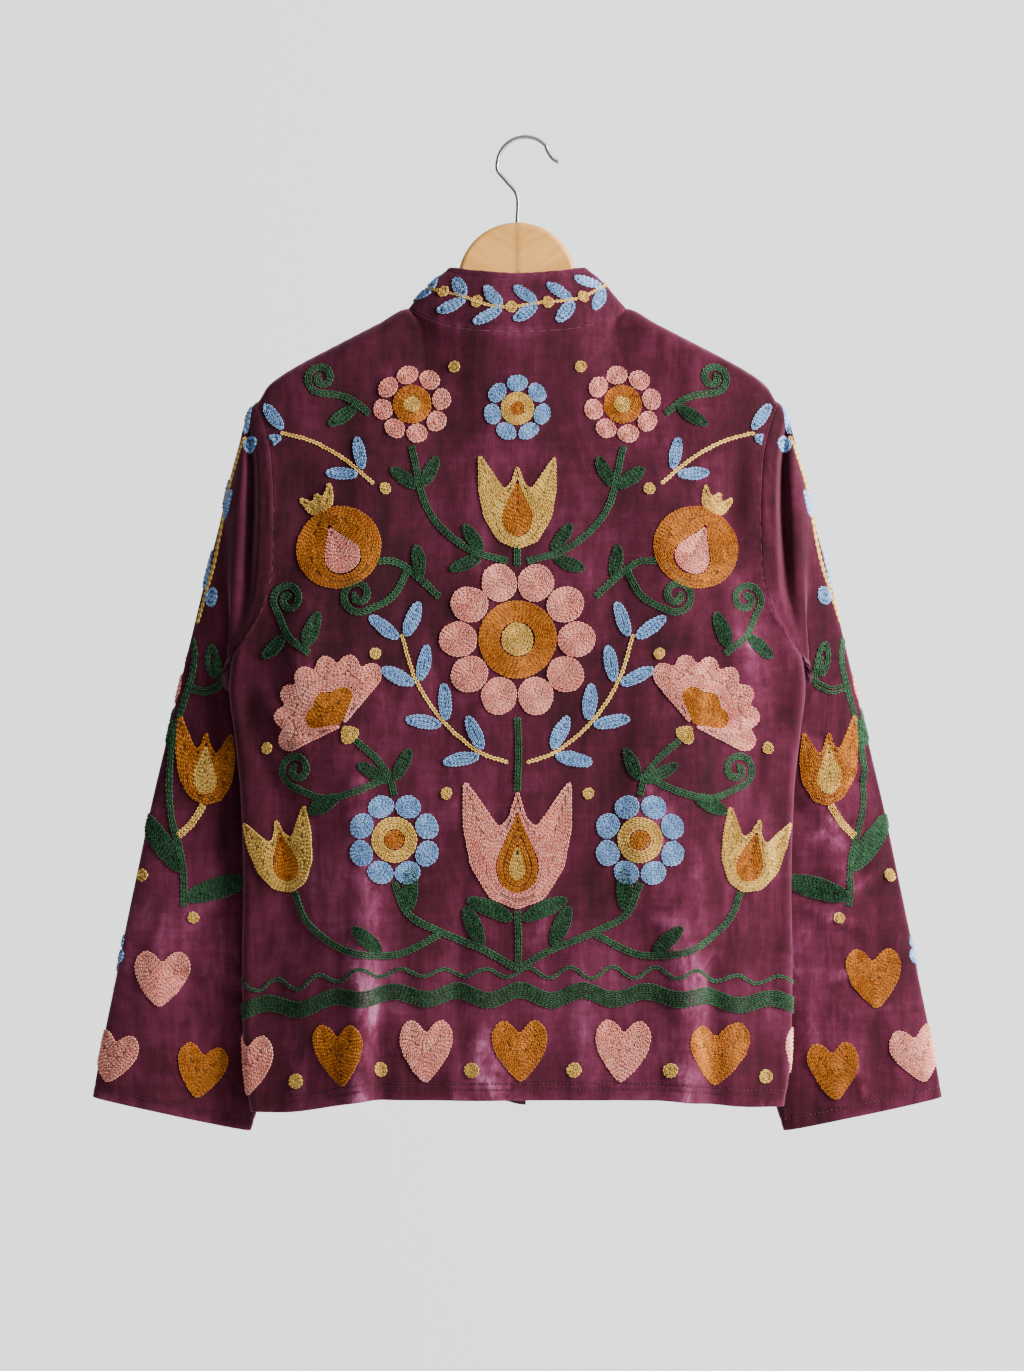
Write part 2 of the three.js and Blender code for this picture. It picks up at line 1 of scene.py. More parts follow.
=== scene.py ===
"""A plum velvet jacket with chain-stitch embroidery, on a flat wooden hanger, seen from behind.

The pieces follow the tables of the frame's solids, but for the collar's top line, the left front's edge
and the notch under the hanger. Lengths are millimetres until a mesh is made.
"""

import math

import bpy
import numpy as np
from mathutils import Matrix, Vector


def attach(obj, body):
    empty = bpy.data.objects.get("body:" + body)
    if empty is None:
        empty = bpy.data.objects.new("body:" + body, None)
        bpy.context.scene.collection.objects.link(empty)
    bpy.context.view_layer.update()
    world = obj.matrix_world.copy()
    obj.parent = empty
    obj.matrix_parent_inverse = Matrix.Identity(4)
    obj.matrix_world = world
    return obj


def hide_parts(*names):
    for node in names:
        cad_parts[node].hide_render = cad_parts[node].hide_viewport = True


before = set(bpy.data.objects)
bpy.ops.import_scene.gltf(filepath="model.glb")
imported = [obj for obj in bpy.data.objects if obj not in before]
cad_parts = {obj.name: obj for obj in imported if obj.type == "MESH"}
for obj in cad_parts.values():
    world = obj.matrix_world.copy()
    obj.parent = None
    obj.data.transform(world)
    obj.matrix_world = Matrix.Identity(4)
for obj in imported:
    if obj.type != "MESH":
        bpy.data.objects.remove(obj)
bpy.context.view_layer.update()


def table(names, *rows):
    """Rows of a table as dictionaries by column name."""
    return [dict(zip(names.split(), row)) for row in rows]


# Driving dimensions

WALL = 2.2
CENTRE_X = -7.0
TIP_Z = -225.0
UNDERARM_Z = -447.0
HEM_Z = -826.0
TIP_HALF = 223.0
UNDERARM_HALF = 243.0
UNDERARM_Y = -17.0
NECK_HALF = 93.0
NECK_SHARE = NECK_HALF / TIP_HALF
NECK_POINT_Z = -145.0
BACK_NECK_Z = -165.7
BACK_NECK_Y = -24.0
FRONT_NECK_Z = -222.0
FRONT_NECK_Y = 16.0
NECK_CROSSING = 0.06
RIDGE_RADIUS = 11.0
SIDE_RADIUS = 8.0
COLLAR_HEIGHT = 48.0
COLLAR_LEAN = 0.36
COLLAR_BOW = 1.6
SLEEVE_BLEND = 6.0
SEAM_ROUND = 0.5  # how far an edge rounds over at a seam
FREE_ROUND = 1.1  # and at the hem, the cuffs, the front edges and the collar's top
SEAM_LAP = 0.15  # how far the crest of a seam's edge passes the seam, so that no light shows through
HEM_STITCHES = (9.4, 14.4)  # the rows of topstitching above the hem
HEM_MIDDLE = 12.0
CUFF_STITCH = 9.8
COLLAR_STITCH = 4.4
SIDES = {"left": -1, "right": 1}
RIDGE_HIGHLIGHT = 1.6  # how strongly highlight is painted on the body's ridges
# Painted highlight on each sleeve's ridges: weaker on the left, as painted shade on the side away from the
# key light.
SLEEVE_HIGHLIGHT = {"left": 0.7, "right": 1.7}
# the pile paler along the seams and hems: partly wear, partly painted highlight
EDGE_WEAR_AND_HIGHLIGHT = 0.42

# Where one rule of the body's surface gives way to the next: heights, and lengths over which it does

SLOPE_FROM, SLOPE_OVER = -560, 290  # up to the shoulders' slope
SEAM_OVER = 25  # from the side seam to the armhole
HEM_FROM, HEM_OVER = -690, 136  # down to the hem's own line
HEM_LEVEL, HEM_BENT = 0.5, 0.4  # shares of the half-width
BACK_FALL, BACK_SWEEP = 150, 105
FOLD_FALL, FOLD_SWEEP = 40, 20
FRONT_FALL, FRONT_SWEEP = 60, 52
FRONT_SWEEP_MORE, FRONT_FLAT = 22, 38  # beside the side seam
EDGE_DROP_SHARE = 0.17
CREASE_CALM = 24  # creases die out this far from a panel's edge

# The body by the height of its edge, as in the frame's solids

BODY = table(
    "z half back back_edge front_edge front",
    (-826, 227, -47, -17, -17, 13),
    (-808, 230, -47, -17, -17, 13),
    (-775, 233, -47, -17, -17, 13),
    (-700, 234, -47, -17, -17, 14),
    (-640, 233, -48, -17, -17, 14),
    (-565, 235, -48, -17, -17, 14),
    (-505, 241, -46, -17, -17, 14),
    (-470, 245, -44, -17, -17, 14),
    (-447, 243, -43, -17, -17, 14),
    (-425, 230, -41, -22, -11, 14),
    (-400, 216, -39, -24, -4, 14),
    (-365, 208, -36, -24, 5, 14),
    (-318, 207, -33, -22, 11, 14),
    (-275, 209, -29, -18, 11, 14),
    (-250, 214, -27, -14.5, 11, 14),
    (-237, 218, -26, -11.5, 10.5, 14),
    (-229, 221.5, -25, -9, 9, 14),
    (-226.5, 222.6, -25, -6, 6, 14),
    (-225, 223, -25, 0, 0, 14),
    (-145, 223, -20, 0, 0, 13),
)
SHOULDER = table(
    "x z",
    (93, -145),
    (118, -157.5),
    (156, -177),
    (182, -190.5),
    (200, -201),
    (213, -211),
    (223, -225),
)
HEM_RISE = {"middle": 9.0, "left": -3.0, "right": 1.5}
# How much higher the collar stands: size is 0 at the middle of the back, 1 at a neck point, 2 at a front edge
COLLAR_MORE = table(
    "size more",
    (0, 1.4),
    (0.2, 3.2),
    (0.38, 4.8),
    (0.6, 4.4),
    (0.78, 2.6),
    (1, 0.8),
    (1.3, 0),
    (2, 0),
)
FRONTS = {
    "left": {"side": -1, "edge_hem": 7.4, "edge_neck": -0.6, "edge_drop": -9.5},
    "right": {"side": 1, "edge_hem": 10.0, "edge_neck": 1.6, "edge_drop": 1.0},
}
BACK_FOLDS = table(
    "x lean start end width rise",
    (-134, 6, -850, -600, 15, 8),
    (-119, 6, -850, -660, 12, -7),
    (-30, -8, -850, -690, 26, 4),
    (147, -10, -850, -560, 16, 7),
    (163, 0, -850, -640, 12, -8),
    (92, 20, -700, -400, 24, 5),
    (198, -34, -500, -300, 15, 6),
    (-196, 30, -500, -310, 16, 5),
    (178, 14, -370, -215, 13, -5),
    (-176, -10, -380, -215, 15, -4),
)
SLEEVE = table(
    "ring out_x out_z out_y in_x in_z in_y deep groove",
    (0, 223, -225, 0, 243, -447, -17, 14, 0),
    (1, 226, -228, 0, 245.5, -449.5, -15, 14, -2),
    (2, 229, -233, 0, 247.5, -452, -12.5, 14, -2),
    (3, 231.5, -238.5, 0, 249, -455.5, -9.5, 14, 11),
    (4, 234, -246, 0, 250, -460, -6, 14.5, -2),
    (5, 237.5, -260, 1, 249.5, -466.5, -2, 15, -3),
    (6, 245.5, -289, 2, 245, -477, 3, 15, -2),
    (7, 255, -330, 4, 237, -491, 6, 14.5, 0),
    (8, 267, -376, 6, 223, -508, 8, 14.5, 0),
    (9, 279, -425, 8, 206, -527, 9, 14.5, 0),
    (10, 291, -475, 8, 192, -552, 9, 14.5, 0),
    (11, 303, -525, 8, 182, -582, 9, 14.5, 0),
    (12, 314, -572, 8, 177, -614, 9, 14.5, 0),
    (13, 324, -620, 8, 178, -651, 9, 14.5, 0),
    (14, 334, -668, 8, 185, -693, 9, 14.5, 0),
    (15, 343, -714, 7, 196, -739, 9, 14.5, 0),
    (16, 352, -758, 7, 209, -783, 8, 14.5, 0),
    (17, 359, -794, 6, 220, -822, 8, 14.5, 0),
    (18, 363.5, -819, 6, 228, -848, 7, 14.5, 0),
)

# Creases, each a soft ridge (rise above 0) or trough between two points. z is the height. On the back x is
# measured from the jacket's middle, and on a front or a sleeve it is the distance from it.

BACK_CREASES = table(
    "x1 z1 x2 z2 width rise",
    (-226, -452, -168, -530, 9, 2.6),
    (-232, -470, -190, -575, 8, -2.2),
    (-222, -500, -206, -640, 10, 2.4),
    (-196, -560, -184, -700, 12, -2.2),
    (-150, -480, -120, -600, 14, 1.8),
    (-62, -600, -56, -826, 14, 2.0),
    (-44, -640, -38, -826, 9, -1.8),
    (20, -520, 26, -700, 16, 1.6),
    (60, -700, 64, -826, 14, 2.0),
    (110, -540, 128, -690, 14, 2.2),
    (150, -700, 172, -690, 9, 2.6),
    (138, -716, 156, -700, 7, -2.0),
    (196, -640, 190, -826, 10, 1.8),
    (226, -452, 176, -520, 9, 2.6),
    (234, -470, 200, -560, 8, -2.4),
    (222, -500, 212, -640, 10, 2.2),
    (-120, -205, -60, -215, 14, 1.2),
    (120, -205, 60, -215, 14, 1.2),
    (-190, -250, -150, -330, 12, 1.6),
    (194, -250, 160, -330, 12, 1.8),
)
FRONT_CREASES = table(
    "x1 z1 x2 z2 width rise",
    (226, -455, 150, -540, 11, 2.6),
    (232, -475, 180, -590, 9, -2.2),
    (215, -510, 200, -660, 12, 2.2),
    (140, -480, 120, -640, 16, 2.0),
    (60, -560, 56, -826, 16, 2.2),
    (90, -620, 96, -826, 12, -2.0),
    (160, -640, 156, -826, 14, 2.4),
    (40, -300, 60, -420, 14, 1.4),
    (185, -250, 150, -330, 12, 1.6),
)
SLEEVE_CREASES = {
    "left": table(
        "x1 z1 x2 z2 width rise",
        (236, -505, 288, -560, 9, 2.0),
        (198, -560, 250, -590, 9, -2.2),
        (200, -640, 300, -652, 11, 1.8),
        (190, -728, 300, -712, 8, -3.4),
        (188, -716, 292, -700, 8, 2.6),
        (262, -520, 306, -700, 16, 2.0),
        (232, -560, 262, -780, 18, 1.8),
        (300, -640, 336, -800, 12, 1.6),
        (230, -780, 270, -770, 9, -1.6),
    ),
    "right": table(
        "x1 z1 x2 z2 width rise",
        (232, -505, 284, -545, 9, 2.4),
        (214, -530, 262, -596, 8, -2.6),
        (240, -600, 300, -560, 9, 2.0),
        (276, -648, 314, -614, 4.5, 2.6),
        (284, -656, 316, -628, 4.5, -2.6),
        (242, -652, 292, -672, 5, 2.2),
        (268, -668, 300, -690, 5, -2.2),
        (312, -690, 342, -668, 5, 2.2),
        (276, -534, 310, -538, 5, 2.4),
        (282, -546, 310, -550, 5, -2.2),
        (262, -730, 310, -704, 7, -3.2),
        (268, -722, 304, -694, 7, 2.6),
        (272, -746, 326, -738, 7, 2.6),
        (276, -812, 318, -782, 6, -2.8),
        (286, -770, 300, -822, 6, 2.2),
        (190, -660, 262, -640, 10, -2.0),
        (256, -520, 300, -680, 16, 2.0),
        (226, -620, 262, -800, 16, 1.6),
    ),
}


# Small maths


def smooth(t):
    t = np.clip(t, 0, 1)
    return t * t * (3 - 2 * t)


def lerp(a, b, t):
    return a + (b - a) * t


def unit(v):
    return v / np.maximum(np.linalg.norm(v, axis=-1, keepdims=True), 1e-9)


def way_along(line):
    """The length along a line up to each of its points."""
    return np.concatenate([[0], np.cumsum(np.linalg.norm(np.diff(line, axis=0), axis=1))])


def read_along(places, way, rows, beyond=None):
    """Rows of numbers read at places along them. way is each row's own place, beyond the value outside."""
    return np.stack([np.interp(places, way, column, beyond, beyond) for column in rows.T], -1)


def polar(reach, angle):
    return np.stack([reach * np.cos(angle), reach * np.sin(angle)], -1)


def curve(rows, by, name):
    """A column of a table as a smooth function of another column, monotone between its rows."""
    rows = sorted(rows, key=lambda row: row[by])
    at = np.array([row[by] for row in rows], float)
    value = np.array([row[name] for row in rows], float)
    step = np.diff(at)
    rate = np.diff(value) / step
    slope = np.zeros(len(at))
    same_way = rate[:-1] * rate[1:] > 0
    total = np.where(same_way, rate[:-1] + rate[1:], 1)
    slope[1:-1] = np.where(same_way, 2 * rate[:-1] * rate[1:] / total, 0)

    def read(place):
        place = np.clip(np.asarray(place, float), at[0], at[-1])
        i = np.clip(np.searchsorted(at, place, side="right") - 1, 0, len(at) - 2)
        t = (place - at[i]) / step[i]
        low = value[i] * (1 + 2 * t) * (1 - t) ** 2 + slope[i] * step[i] * t * (1 - t) ** 2
        high = value[i + 1] * t * t * (3 - 2 * t) + slope[i + 1] * step[i] * t * t * (t - 1)
        return low + high

    return read


half = curve(BODY, "z", "half")
back_depth = curve(BODY, "z", "back")
front_depth = curve(BODY, "z", "front")
back_edge = curve(BODY, "z", "back_edge")
front_edge = curve(BODY, "z", "front_edge")
shoulder_z = curve(SHOULDER, "x", "z")
collar_more = curve(COLLAR_MORE, "size", "more")
sleeve_column = {name: curve(SLEEVE, "ring", name) for name in SLEEVE[0] if name != "ring"}


def quarter(distance, radius):
    """A quarter turn of the radius: 0 at the edge, and the radius from there on."""
    inside = np.maximum(radius**2 - np.maximum(radius - distance, 0) ** 2, 0)
    return np.sqrt(inside)


def top_share(edge_z):
    return smooth((edge_z - SLOPE_FROM) / SLOPE_OVER)


def seam_share(edge_z):
    return 1 - smooth((edge_z - UNDERARM_Z) / SEAM_OVER)


def hem_share(edge_z):
    return smooth((HEM_FROM - edge_z) / HEM_OVER)


def hem_rise(side, share):
    at_side = np.where(side < 0, HEM_RISE["left"], HEM_RISE["right"])
    return lerp(HEM_RISE["middle"], at_side, smooth((share - HEM_LEVEL) / HEM_BENT))


# Surfaces: each gives points on the outer face


def back_folds(x, z):
    total = np.zeros_like(x)
    for fold in BACK_FOLDS:
        along = (z - fold["start"]) / (fold["end"] - fold["start"])
        foot = 1 if fold["start"] < HEM_Z else smooth(along / 0.35)
        across = (x - fold["x"] - fold["lean"] * along) / fold["width"]
        rise = fold["rise"] * foot * smooth((1 - along) / 0.7) * np.exp(-(across**2))
        total -= np.where((along > 1) | (along < 0), 0, rise)
    return total


def back_top(share):
    t = np.minimum(share / NECK_SHARE, 1)
    neck = BACK_NECK_Z + (NECK_POINT_Z - BACK_NECK_Z) * t**3.2
    return np.where(share >= NECK_SHARE, shoulder_z(share * TIP_HALF), neck)


def back_surface(signed_share, edge_z):
    share = np.abs(signed_share)
    side = np.sign(signed_share)
    width = half(edge_z)
    x = side * share * width
    top = back_top(share)
    z = edge_z + (top - TIP_Z) * top_share(edge_z) + hem_rise(side, share) * hem_share(edge_z)
    below = np.maximum(top - z, 0)
    t = np.minimum(share / NECK_SHARE, 1)
    start = np.maximum(-BACK_NECK_Y * np.sqrt(1 - t**2.2), quarter(below, RIDGE_RADIUS))
    inner = start + (-back_depth(z) - start) * smooth(below / BACK_FALL)
    inset = width * (1 - share)
    turn = SIDE_RADIUS * seam_share(edge_z)
    edge = -back_edge(edge_z)
    depth = edge + quarter(inset, turn) + (inner - edge - turn) * smooth(inset / BACK_SWEEP)
    folds = back_folds(x, z) * smooth(below / FOLD_FALL) * smooth(inset / FOLD_SWEEP)
    return np.stack([CENTRE_X + x, -depth + folds, z], -1)


def front_surface(front, share, edge_z):
    side = front["side"]
    width = half(edge_z)
    t = np.minimum(share / NECK_SHARE, 1)
    edge_x = lerp(front["edge_neck"], front["edge_hem"], (TIP_Z - edge_z) / (TIP_Z - HEM_Z))
    in_neck = share < NECK_SHARE
    x = np.where(in_neck, lerp(edge_x, side * NECK_SHARE * width, t), side * share * width)
    fall = 1 - np.maximum(0, (1 - t - NECK_CROSSING) / (1 - NECK_CROSSING))
    neck_top = FRONT_NECK_Z + (NECK_POINT_Z - FRONT_NECK_Z) * fall**2
    top = np.where(in_neck, neck_top, shoulder_z(share * TIP_HALF))
    hem = hem_rise(side, share) + front["edge_drop"] * (1 - smooth(share / EDGE_DROP_SHARE))
    z = edge_z + (top - TIP_Z) * top_share(edge_z) + hem * hem_share(edge_z)
    below = np.maximum(top - z, 0)
    neck_y = np.where(in_neck, FRONT_NECK_Y * np.sqrt(1 - t**6), 0)
    start = np.maximum(neck_y, quarter(below, RIDGE_RADIUS))
    inner = start + (front_depth(z) - start) * smooth(below / FRONT_FALL)
    inset = width * (1 - share)
    joined = seam_share(edge_z)
    turn = SIDE_RADIUS * joined
    edge = front_edge(edge_z)
    sweep = smooth((inset - FRONT_FLAT * joined) / (FRONT_SWEEP + FRONT_SWEEP_MORE * joined))
    depth = edge + quarter(inset, turn) + (inner - edge - turn) * sweep
    return np.stack([CENTRE_X + x, depth, z], -1)


def armhole_edge(side, share, on_back):
    z = TIP_Z - share * (TIP_Z - UNDERARM_Z)
    y = np.where(on_back, back_edge(z), front_edge(z))
    return np.stack([CENTRE_X + side * half(z), y, z], -1)


def sleeve_surface(side, ring, turn):
    """turn runs once round: 0 at the outer fold, down the back to the inner fold at 0.5, up the front."""
    share = (1 - np.cos(2 * np.pi * turn)) / 2
    on_back = turn <= 0.5
    read = {name: column(ring) for name, column in sleeve_column.items()}
    outer = np.stack([CENTRE_X + side * read["out_x"], read["out_y"], read["out_z"]], -1)
    inner = np.stack([CENTRE_X + side * read["in_x"], read["in_y"], read["in_z"]], -1)
    chord = lerp(outer, inner, share[..., None])
    thick = read["deep"] * (4 * share * (1 - share)) ** 0.4
    flat = chord.copy()
    flat[..., 1] += np.where(on_back, -thick, thick)
    tip = np.array([CENTRE_X + side * TIP_HALF, 0, TIP_Z])
    pit = np.array([CENTRE_X + side * UNDERARM_HALF, UNDERARM_Y, UNDERARM_Z])
    moved = armhole_edge(side, share, on_back) + chord - lerp(tip, pit, share[..., None])
    kept = 1 - smooth(ring / SLEEVE_BLEND)
    points = lerp(flat, moved, kept[..., None])
    points[..., 1] += np.where(on_back, read["groove"] * np.sin(np.pi * np.minimum(share**0.8 * 1.15, 1)), 0)
    return points


def collar_surface(place, rise_share):
    """place runs from -2 at the left front edge, over -1 and 1 at the neck points, to 2 at the right one."""
    size = np.abs(place)
    side = np.sign(place)
    top_row = np.full(place.shape, TIP_Z)
    back = back_surface(side * NECK_SHARE * np.sin(np.minimum(size, 1) * np.pi / 2), top_row)
    across = NECK_SHARE * np.sin(np.clip(2 - size, 0, 1) * np.pi / 2)
    left = front_surface(FRONTS["left"], across, top_row)
    right = front_surface(FRONTS["right"], across, top_row)
    front = np.where(side[..., None] < 0, left, right)
    foot = np.where(size[..., None] <= 1, back, front)
    in_x = -COLLAR_LEAN * (foot[..., 0] - CENTRE_X)
    in_y = np.where(foot[..., 1] < 0, 3.5 * smooth(-foot[..., 1] / 20), -2 * smooth(foot[..., 1] / 10))
    rise = np.sqrt(COLLAR_HEIGHT**2 - in_x**2 - in_y**2)
    bow = (COLLAR_BOW * np.sin(np.pi * rise_share))[..., None]
    out = unit(np.stack([foot[..., 0] - CENTRE_X, foot[..., 1] * 3, np.zeros_like(size)], -1))
    rise = rise * (1 - 0.055 * rise_share * np.exp(-(((size - 1) / 0.11) ** 2))) + collar_more(size)
    lean = np.stack([in_x, in_y, rise], -1) * rise_share[..., None]
    return foot + lean + out * bow


# Grids of points on the surfaces, with creases and topstitching pressed in


def spaced(length, step, close=(), close_step=1.3):
    """Places from 0 to length, one step apart, and closer in the stretches that `close` gives."""
    places = [0.0]
    while places[-1] < length - step * 0.4:
        inside = any(low <= places[-1] < high for low, high in close)
        places.append(places[-1] + (close_step if inside else step))
    return np.array(places) * length / places[-1]


def turned(radius, steps):
    """Places across a quarter turn, close together where it starts."""
    return radius * (1 - np.cos(np.linspace(0, np.pi / 2, steps, endpoint=False)))


def crease_height(creases, x, z):
    total = np.zeros_like(x)
    for crease in creases:
        start = np.array([crease["x1"], crease["z1"]], float)
        way = np.array([crease["x2"], crease["z2"]], float) - start
        length = np.linalg.norm(way)
        along = ((x - start[0]) * way[0] + (z - start[1]) * way[1]) / length**2
        bent = 0.06 * length * np.sin(np.pi * np.clip(along, 0, 1))
        across = ((x - start[0]) * way[1] - (z - start[1]) * way[0]) / length - bent
        ends = smooth((along + 0.12) / 0.34) * smooth((1.12 - along) / 0.34)
        total += crease["rise"] * ends * np.exp(-((across / crease["width"]) ** 2))
    return total


WAVES = ((150, 420, 0.9), (83, 260, 0.6), (47, 120, 0.35), (26, 70, 0.18))


def waviness(x, z, seed):
    """The slight unevenness of cloth that hangs free."""
    total = np.zeros_like(x)
    for i, (wide, tall, high) in enumerate(WAVES):
        phase = seed * 1.7 + i * 2.3
        total += high * np.sin(x * 2 * np.pi / wide + phase + 0.8 * np.sin(z * 2 * np.pi / tall + phase))
    return total


def border_distance(points, axis):
    """The way along the surface from each border to each point: from row or column 0, and from the last."""
    step = np.linalg.norm(np.diff(points, axis=axis), axis=-1)
    way = np.cumsum(step, axis=axis)
    zero = np.zeros_like(np.take(way, [0], axis=axis))
    way = np.concatenate([zero, way], axis=axis)
    return way, np.take(way, [-1], axis=axis) - way


def surface_normals(points, ring, outward):
    """Unit normals of a grid. outward is 1 or -1 and turns them to the outer side."""
    if ring:
        padded = np.concatenate([points[:, -1:], points, points[:, :1]], axis=1)
        across = padded[:, 2:] - padded[:, :-2]
    else:
        across = np.gradient(points, axis=1)
    along = np.gradient(points, axis=0)
    return unit(np.cross(across, along)) * outward


def puckers(distance, along, reach=9.0, height=0.55):
    """Small ripples beside a seam, uneven in height and spacing."""
    wave = np.sin(along * 0.62 + 1.6 * np.sin(along / 23) + np.sin(along / 7.3))
    strength = 0.55 + 0.45 * np.sin(along / 31 + 1.1)
    return height * strength * wave * np.exp(-((distance / reach) ** 2))


def stitched_groove(distance, stitch_rows, depth=0.5, width=1.3):
    total = np.zeros_like(distance)
    for place in stitch_rows:
        total -= depth * np.exp(-(((distance - place) / width) ** 2))
    return total


class Panel:
    """A cloth piece's outer face: points with outward normals. free names the borders without a seam."""

    def __init__(self, points, ring, outward, free):
        self.points = points
        self.ring = ring
        self.outward = outward
        self.free = free
        self.normals = surface_normals(points, ring, outward)
        self.brushed = None
        self.up, self.down = border_distance(points, 0)
        self.left, self.right = border_distance(points, 1)

    def flat(self, side=1):
        """Each point's distance from the jacket's middle, counted to one side, and its height."""
        return (self.points[..., 0] - CENTRE_X) * side, self.points[..., 2]

    def layers(self):
        return np.concatenate([self.points, self.normals], -1)

    def brush(self, ridge, edge):
        """Painted highlight: the pile pale on ridges, and along the seams and hems, where it is also worn."""
        wave = 0.65 + 0.35 * np.sin(self.points[..., 2] / 17 + 2 * np.sin(self.points[..., 0] / 23))
        on_ridge = smooth((ridge - 1.2) / 4.5)
        self.brushed = np.clip(on_ridge * wave + EDGE_WEAR_AND_HIGHLIGHT * wave * np.exp(-((edge / 5) ** 2)), 0, 1)

    def press(self, height):
        self.points = self.points + self.normals * height[..., None]
        self.normals = surface_normals(self.points, self.ring, self.outward)


def body_rows():
    from_hem = spaced(TIP_Z - HEM_Z - RIDGE_RADIUS, 5, close=[(0, 18)])
    over_ridge = TIP_Z - turned(RIDGE_RADIUS, 8)
    return np.concatenate([HEM_Z + from_hem, over_ridge[::-1]])


def side_shares():
    """Shares of the half-width from the side edge to the neck point."""
    beyond = SIDE_RADIUS + spaced(TIP_HALF - NECK_HALF - SIDE_RADIUS, 3.6)
    return 1 - np.concatenate([turned(SIDE_RADIUS, 8), beyond]) / TIP_HALF


def neck_shares(steps=30):
    return NECK_SHARE * np.sin(np.linspace(np.pi / 2, 0, steps + 1))[3:]


def make_back():
    one_side = np.concatenate([side_shares(), neck_shares()])
    share, edge_z = np.meshgrid(np.concatenate([-one_side, one_side[-2::-1]]), body_rows())
    panel = Panel(back_surface(share, edge_z), False, 1, {"low"})
    x, z = panel.flat()
    sides = np.minimum(panel.left, panel.right)
    edge = np.minimum(sides, panel.down)
    height = (crease_height(BACK_CREASES, x, z) + waviness(x, z, 1)) * smooth(edge / CREASE_CALM)
    panel.brush(height * RIDGE_HIGHLIGHT - back_folds(panel.points[..., 0], z), np.minimum(edge, panel.up))
    seams = puckers(np.abs(panel.up - HEM_MIDDLE), x) + puckers(sides, z) * (z > UNDERARM_Z)
    seams = (seams + puckers(panel.down, x)) * smooth(edge / 5)
    panel.press(height + seams + stitched_groove(panel.up, HEM_STITCHES))
    return panel


def make_front(front):
    side = front["side"]
    share, edge_z = np.meshgrid(np.concatenate([side_shares(), neck_shares()]), body_rows())
    panel = Panel(front_surface(front, share, edge_z), False, side, {"low", "last"})
    x, z = panel.flat(side)
    from_side, from_edge = panel.left, panel.right
    edge = np.minimum(np.minimum(from_side, from_edge + 6), panel.down)
    height = (crease_height(FRONT_CREASES, x, z) + waviness(x, z, 2 + side)) * smooth(edge / CREASE_CALM)
    panel.brush(height * RIDGE_HIGHLIGHT, np.minimum(edge, panel.up))
    seams = puckers(np.abs(panel.up - HEM_MIDDLE), x) * smooth(from_edge / 6) * smooth(from_side / 6)
    panel.press(height + seams + stitched_groove(panel.up, HEM_STITCHES))
    return panel


def sleeve_rings(side):
    """Ring numbers that lie evenly along the sleeve."""
    dense = np.linspace(0, 18, 2000)
    back, front = [sleeve_surface(side, dense, np.full(2000, turn)) for turn in (0.25, 0.75)]
    way = way_along((back + front) / 2)
    places = way[-1] - spaced(way[-1], 4.6, close=[(0, 13), (way[-1] - 30, way[-1])], close_step=1.5)
    return np.interp(places, way, dense)


def make_sleeve(side_name, around=112):
    side = SIDES[side_name]
    turn, ring = np.meshgrid(np.arange(around) / around, sleeve_rings(side))
    panel = Panel(sleeve_surface(side, ring, turn), True, -side, {"low"})
    x, z = panel.flat(side)
    up, down = panel.up, panel.down
    off_fold = np.abs(np.sin(2 * np.pi * turn))
    height = crease_height(SLEEVE_CREASES[side_name], x, z) + waviness(x, z, 5 + side)
    height = height * smooth(down / 40) * smooth((up + 6) / 20)
    height *= np.where(turn <= 0.5, 1, -0.7)
    height *= smooth(off_fold / 0.35)
    panel.brush(height * SLEEVE_HIGHLIGHT[side_name], np.minimum(np.minimum(up, down), 60 * off_fold))
    seams = puckers(np.abs(up - CUFF_STITCH), x) + puckers(np.abs(down - 6), z * 1.3) * smooth(down / 5)
    panel.press(height + seams * smooth(off_fold / 0.35) + stitched_groove(up, (CUFF_STITCH,)))
    return panel


def make_collar(steps=216):
    place, rise = np.meshgrid(np.linspace(-2, 2, steps + 1), np.linspace(0, 1, 25))
    panel = Panel(collar_surface(place, rise), False, 1, {"first", "last", "high"})
    up, down, left = panel.up, panel.down, panel.left
    wave = 0.5 * np.sin(left / 19) * smooth(up / 12)
    panel.brush(wave, np.minimum(up, down))
    seams = puckers(up, left) * smooth(up / 4) + 0.6 * puckers(np.abs(down - COLLAR_STITCH), left + 9, 5)
    panel.press(wave + seams + stitched_groove(down, (COLLAR_STITCH,)))
    return panel


# Closed shells


def border_loops(panel):
    """The border's grid places in order, each with how far it rounds over."""
    rows, columns = panel.points.shape[:2]
    borders = ("low", "high", "first", "last")
    size = {name: FREE_ROUND if name in panel.free else SEAM_ROUND for name in borders}
    low = [((0, c), size["low"]) for c in range(columns)]
    high = [((rows - 1, c), size["high"]) for c in range(columns)]
    if panel.ring:
        return [low, high]
    last = [((r, columns - 1), size["last"]) for r in range(1, rows)]
    first = [((r, 0), size["first"]) for r in range(rows - 2, 0, -1)]
    return [low + last + high[-2::-1] + first]


def outward_way(panel, loop):
    """At each border point, the direction along the surface that leaves the piece."""
    points, normals = panel.points, panel.normals
    rows, columns = points.shape[:2]
    place = np.array([p for p, _ in loop])
    here = points[place[:, 0], place[:, 1]]
    along = unit(np.roll(here, -1, 0) - np.roll(here, 1, 0))
    inner_row = np.clip(place[:, 0], 1, rows - 2)
    inner_column = place[:, 1] if panel.ring else np.clip(place[:, 1], 1, columns - 2)
    away = here - points[inner_row, inner_column]
    normal = normals[place[:, 0], place[:, 1]]
    away = away - normal * np.sum(away * normal, 1, keepdims=True)
    corner = (inner_row != place[:, 0]) & (inner_column != place[:, 1])
    straight = away - along * np.sum(away * along, 1, keepdims=True)
    return unit(np.where(corner[:, None], away, straight)), normal


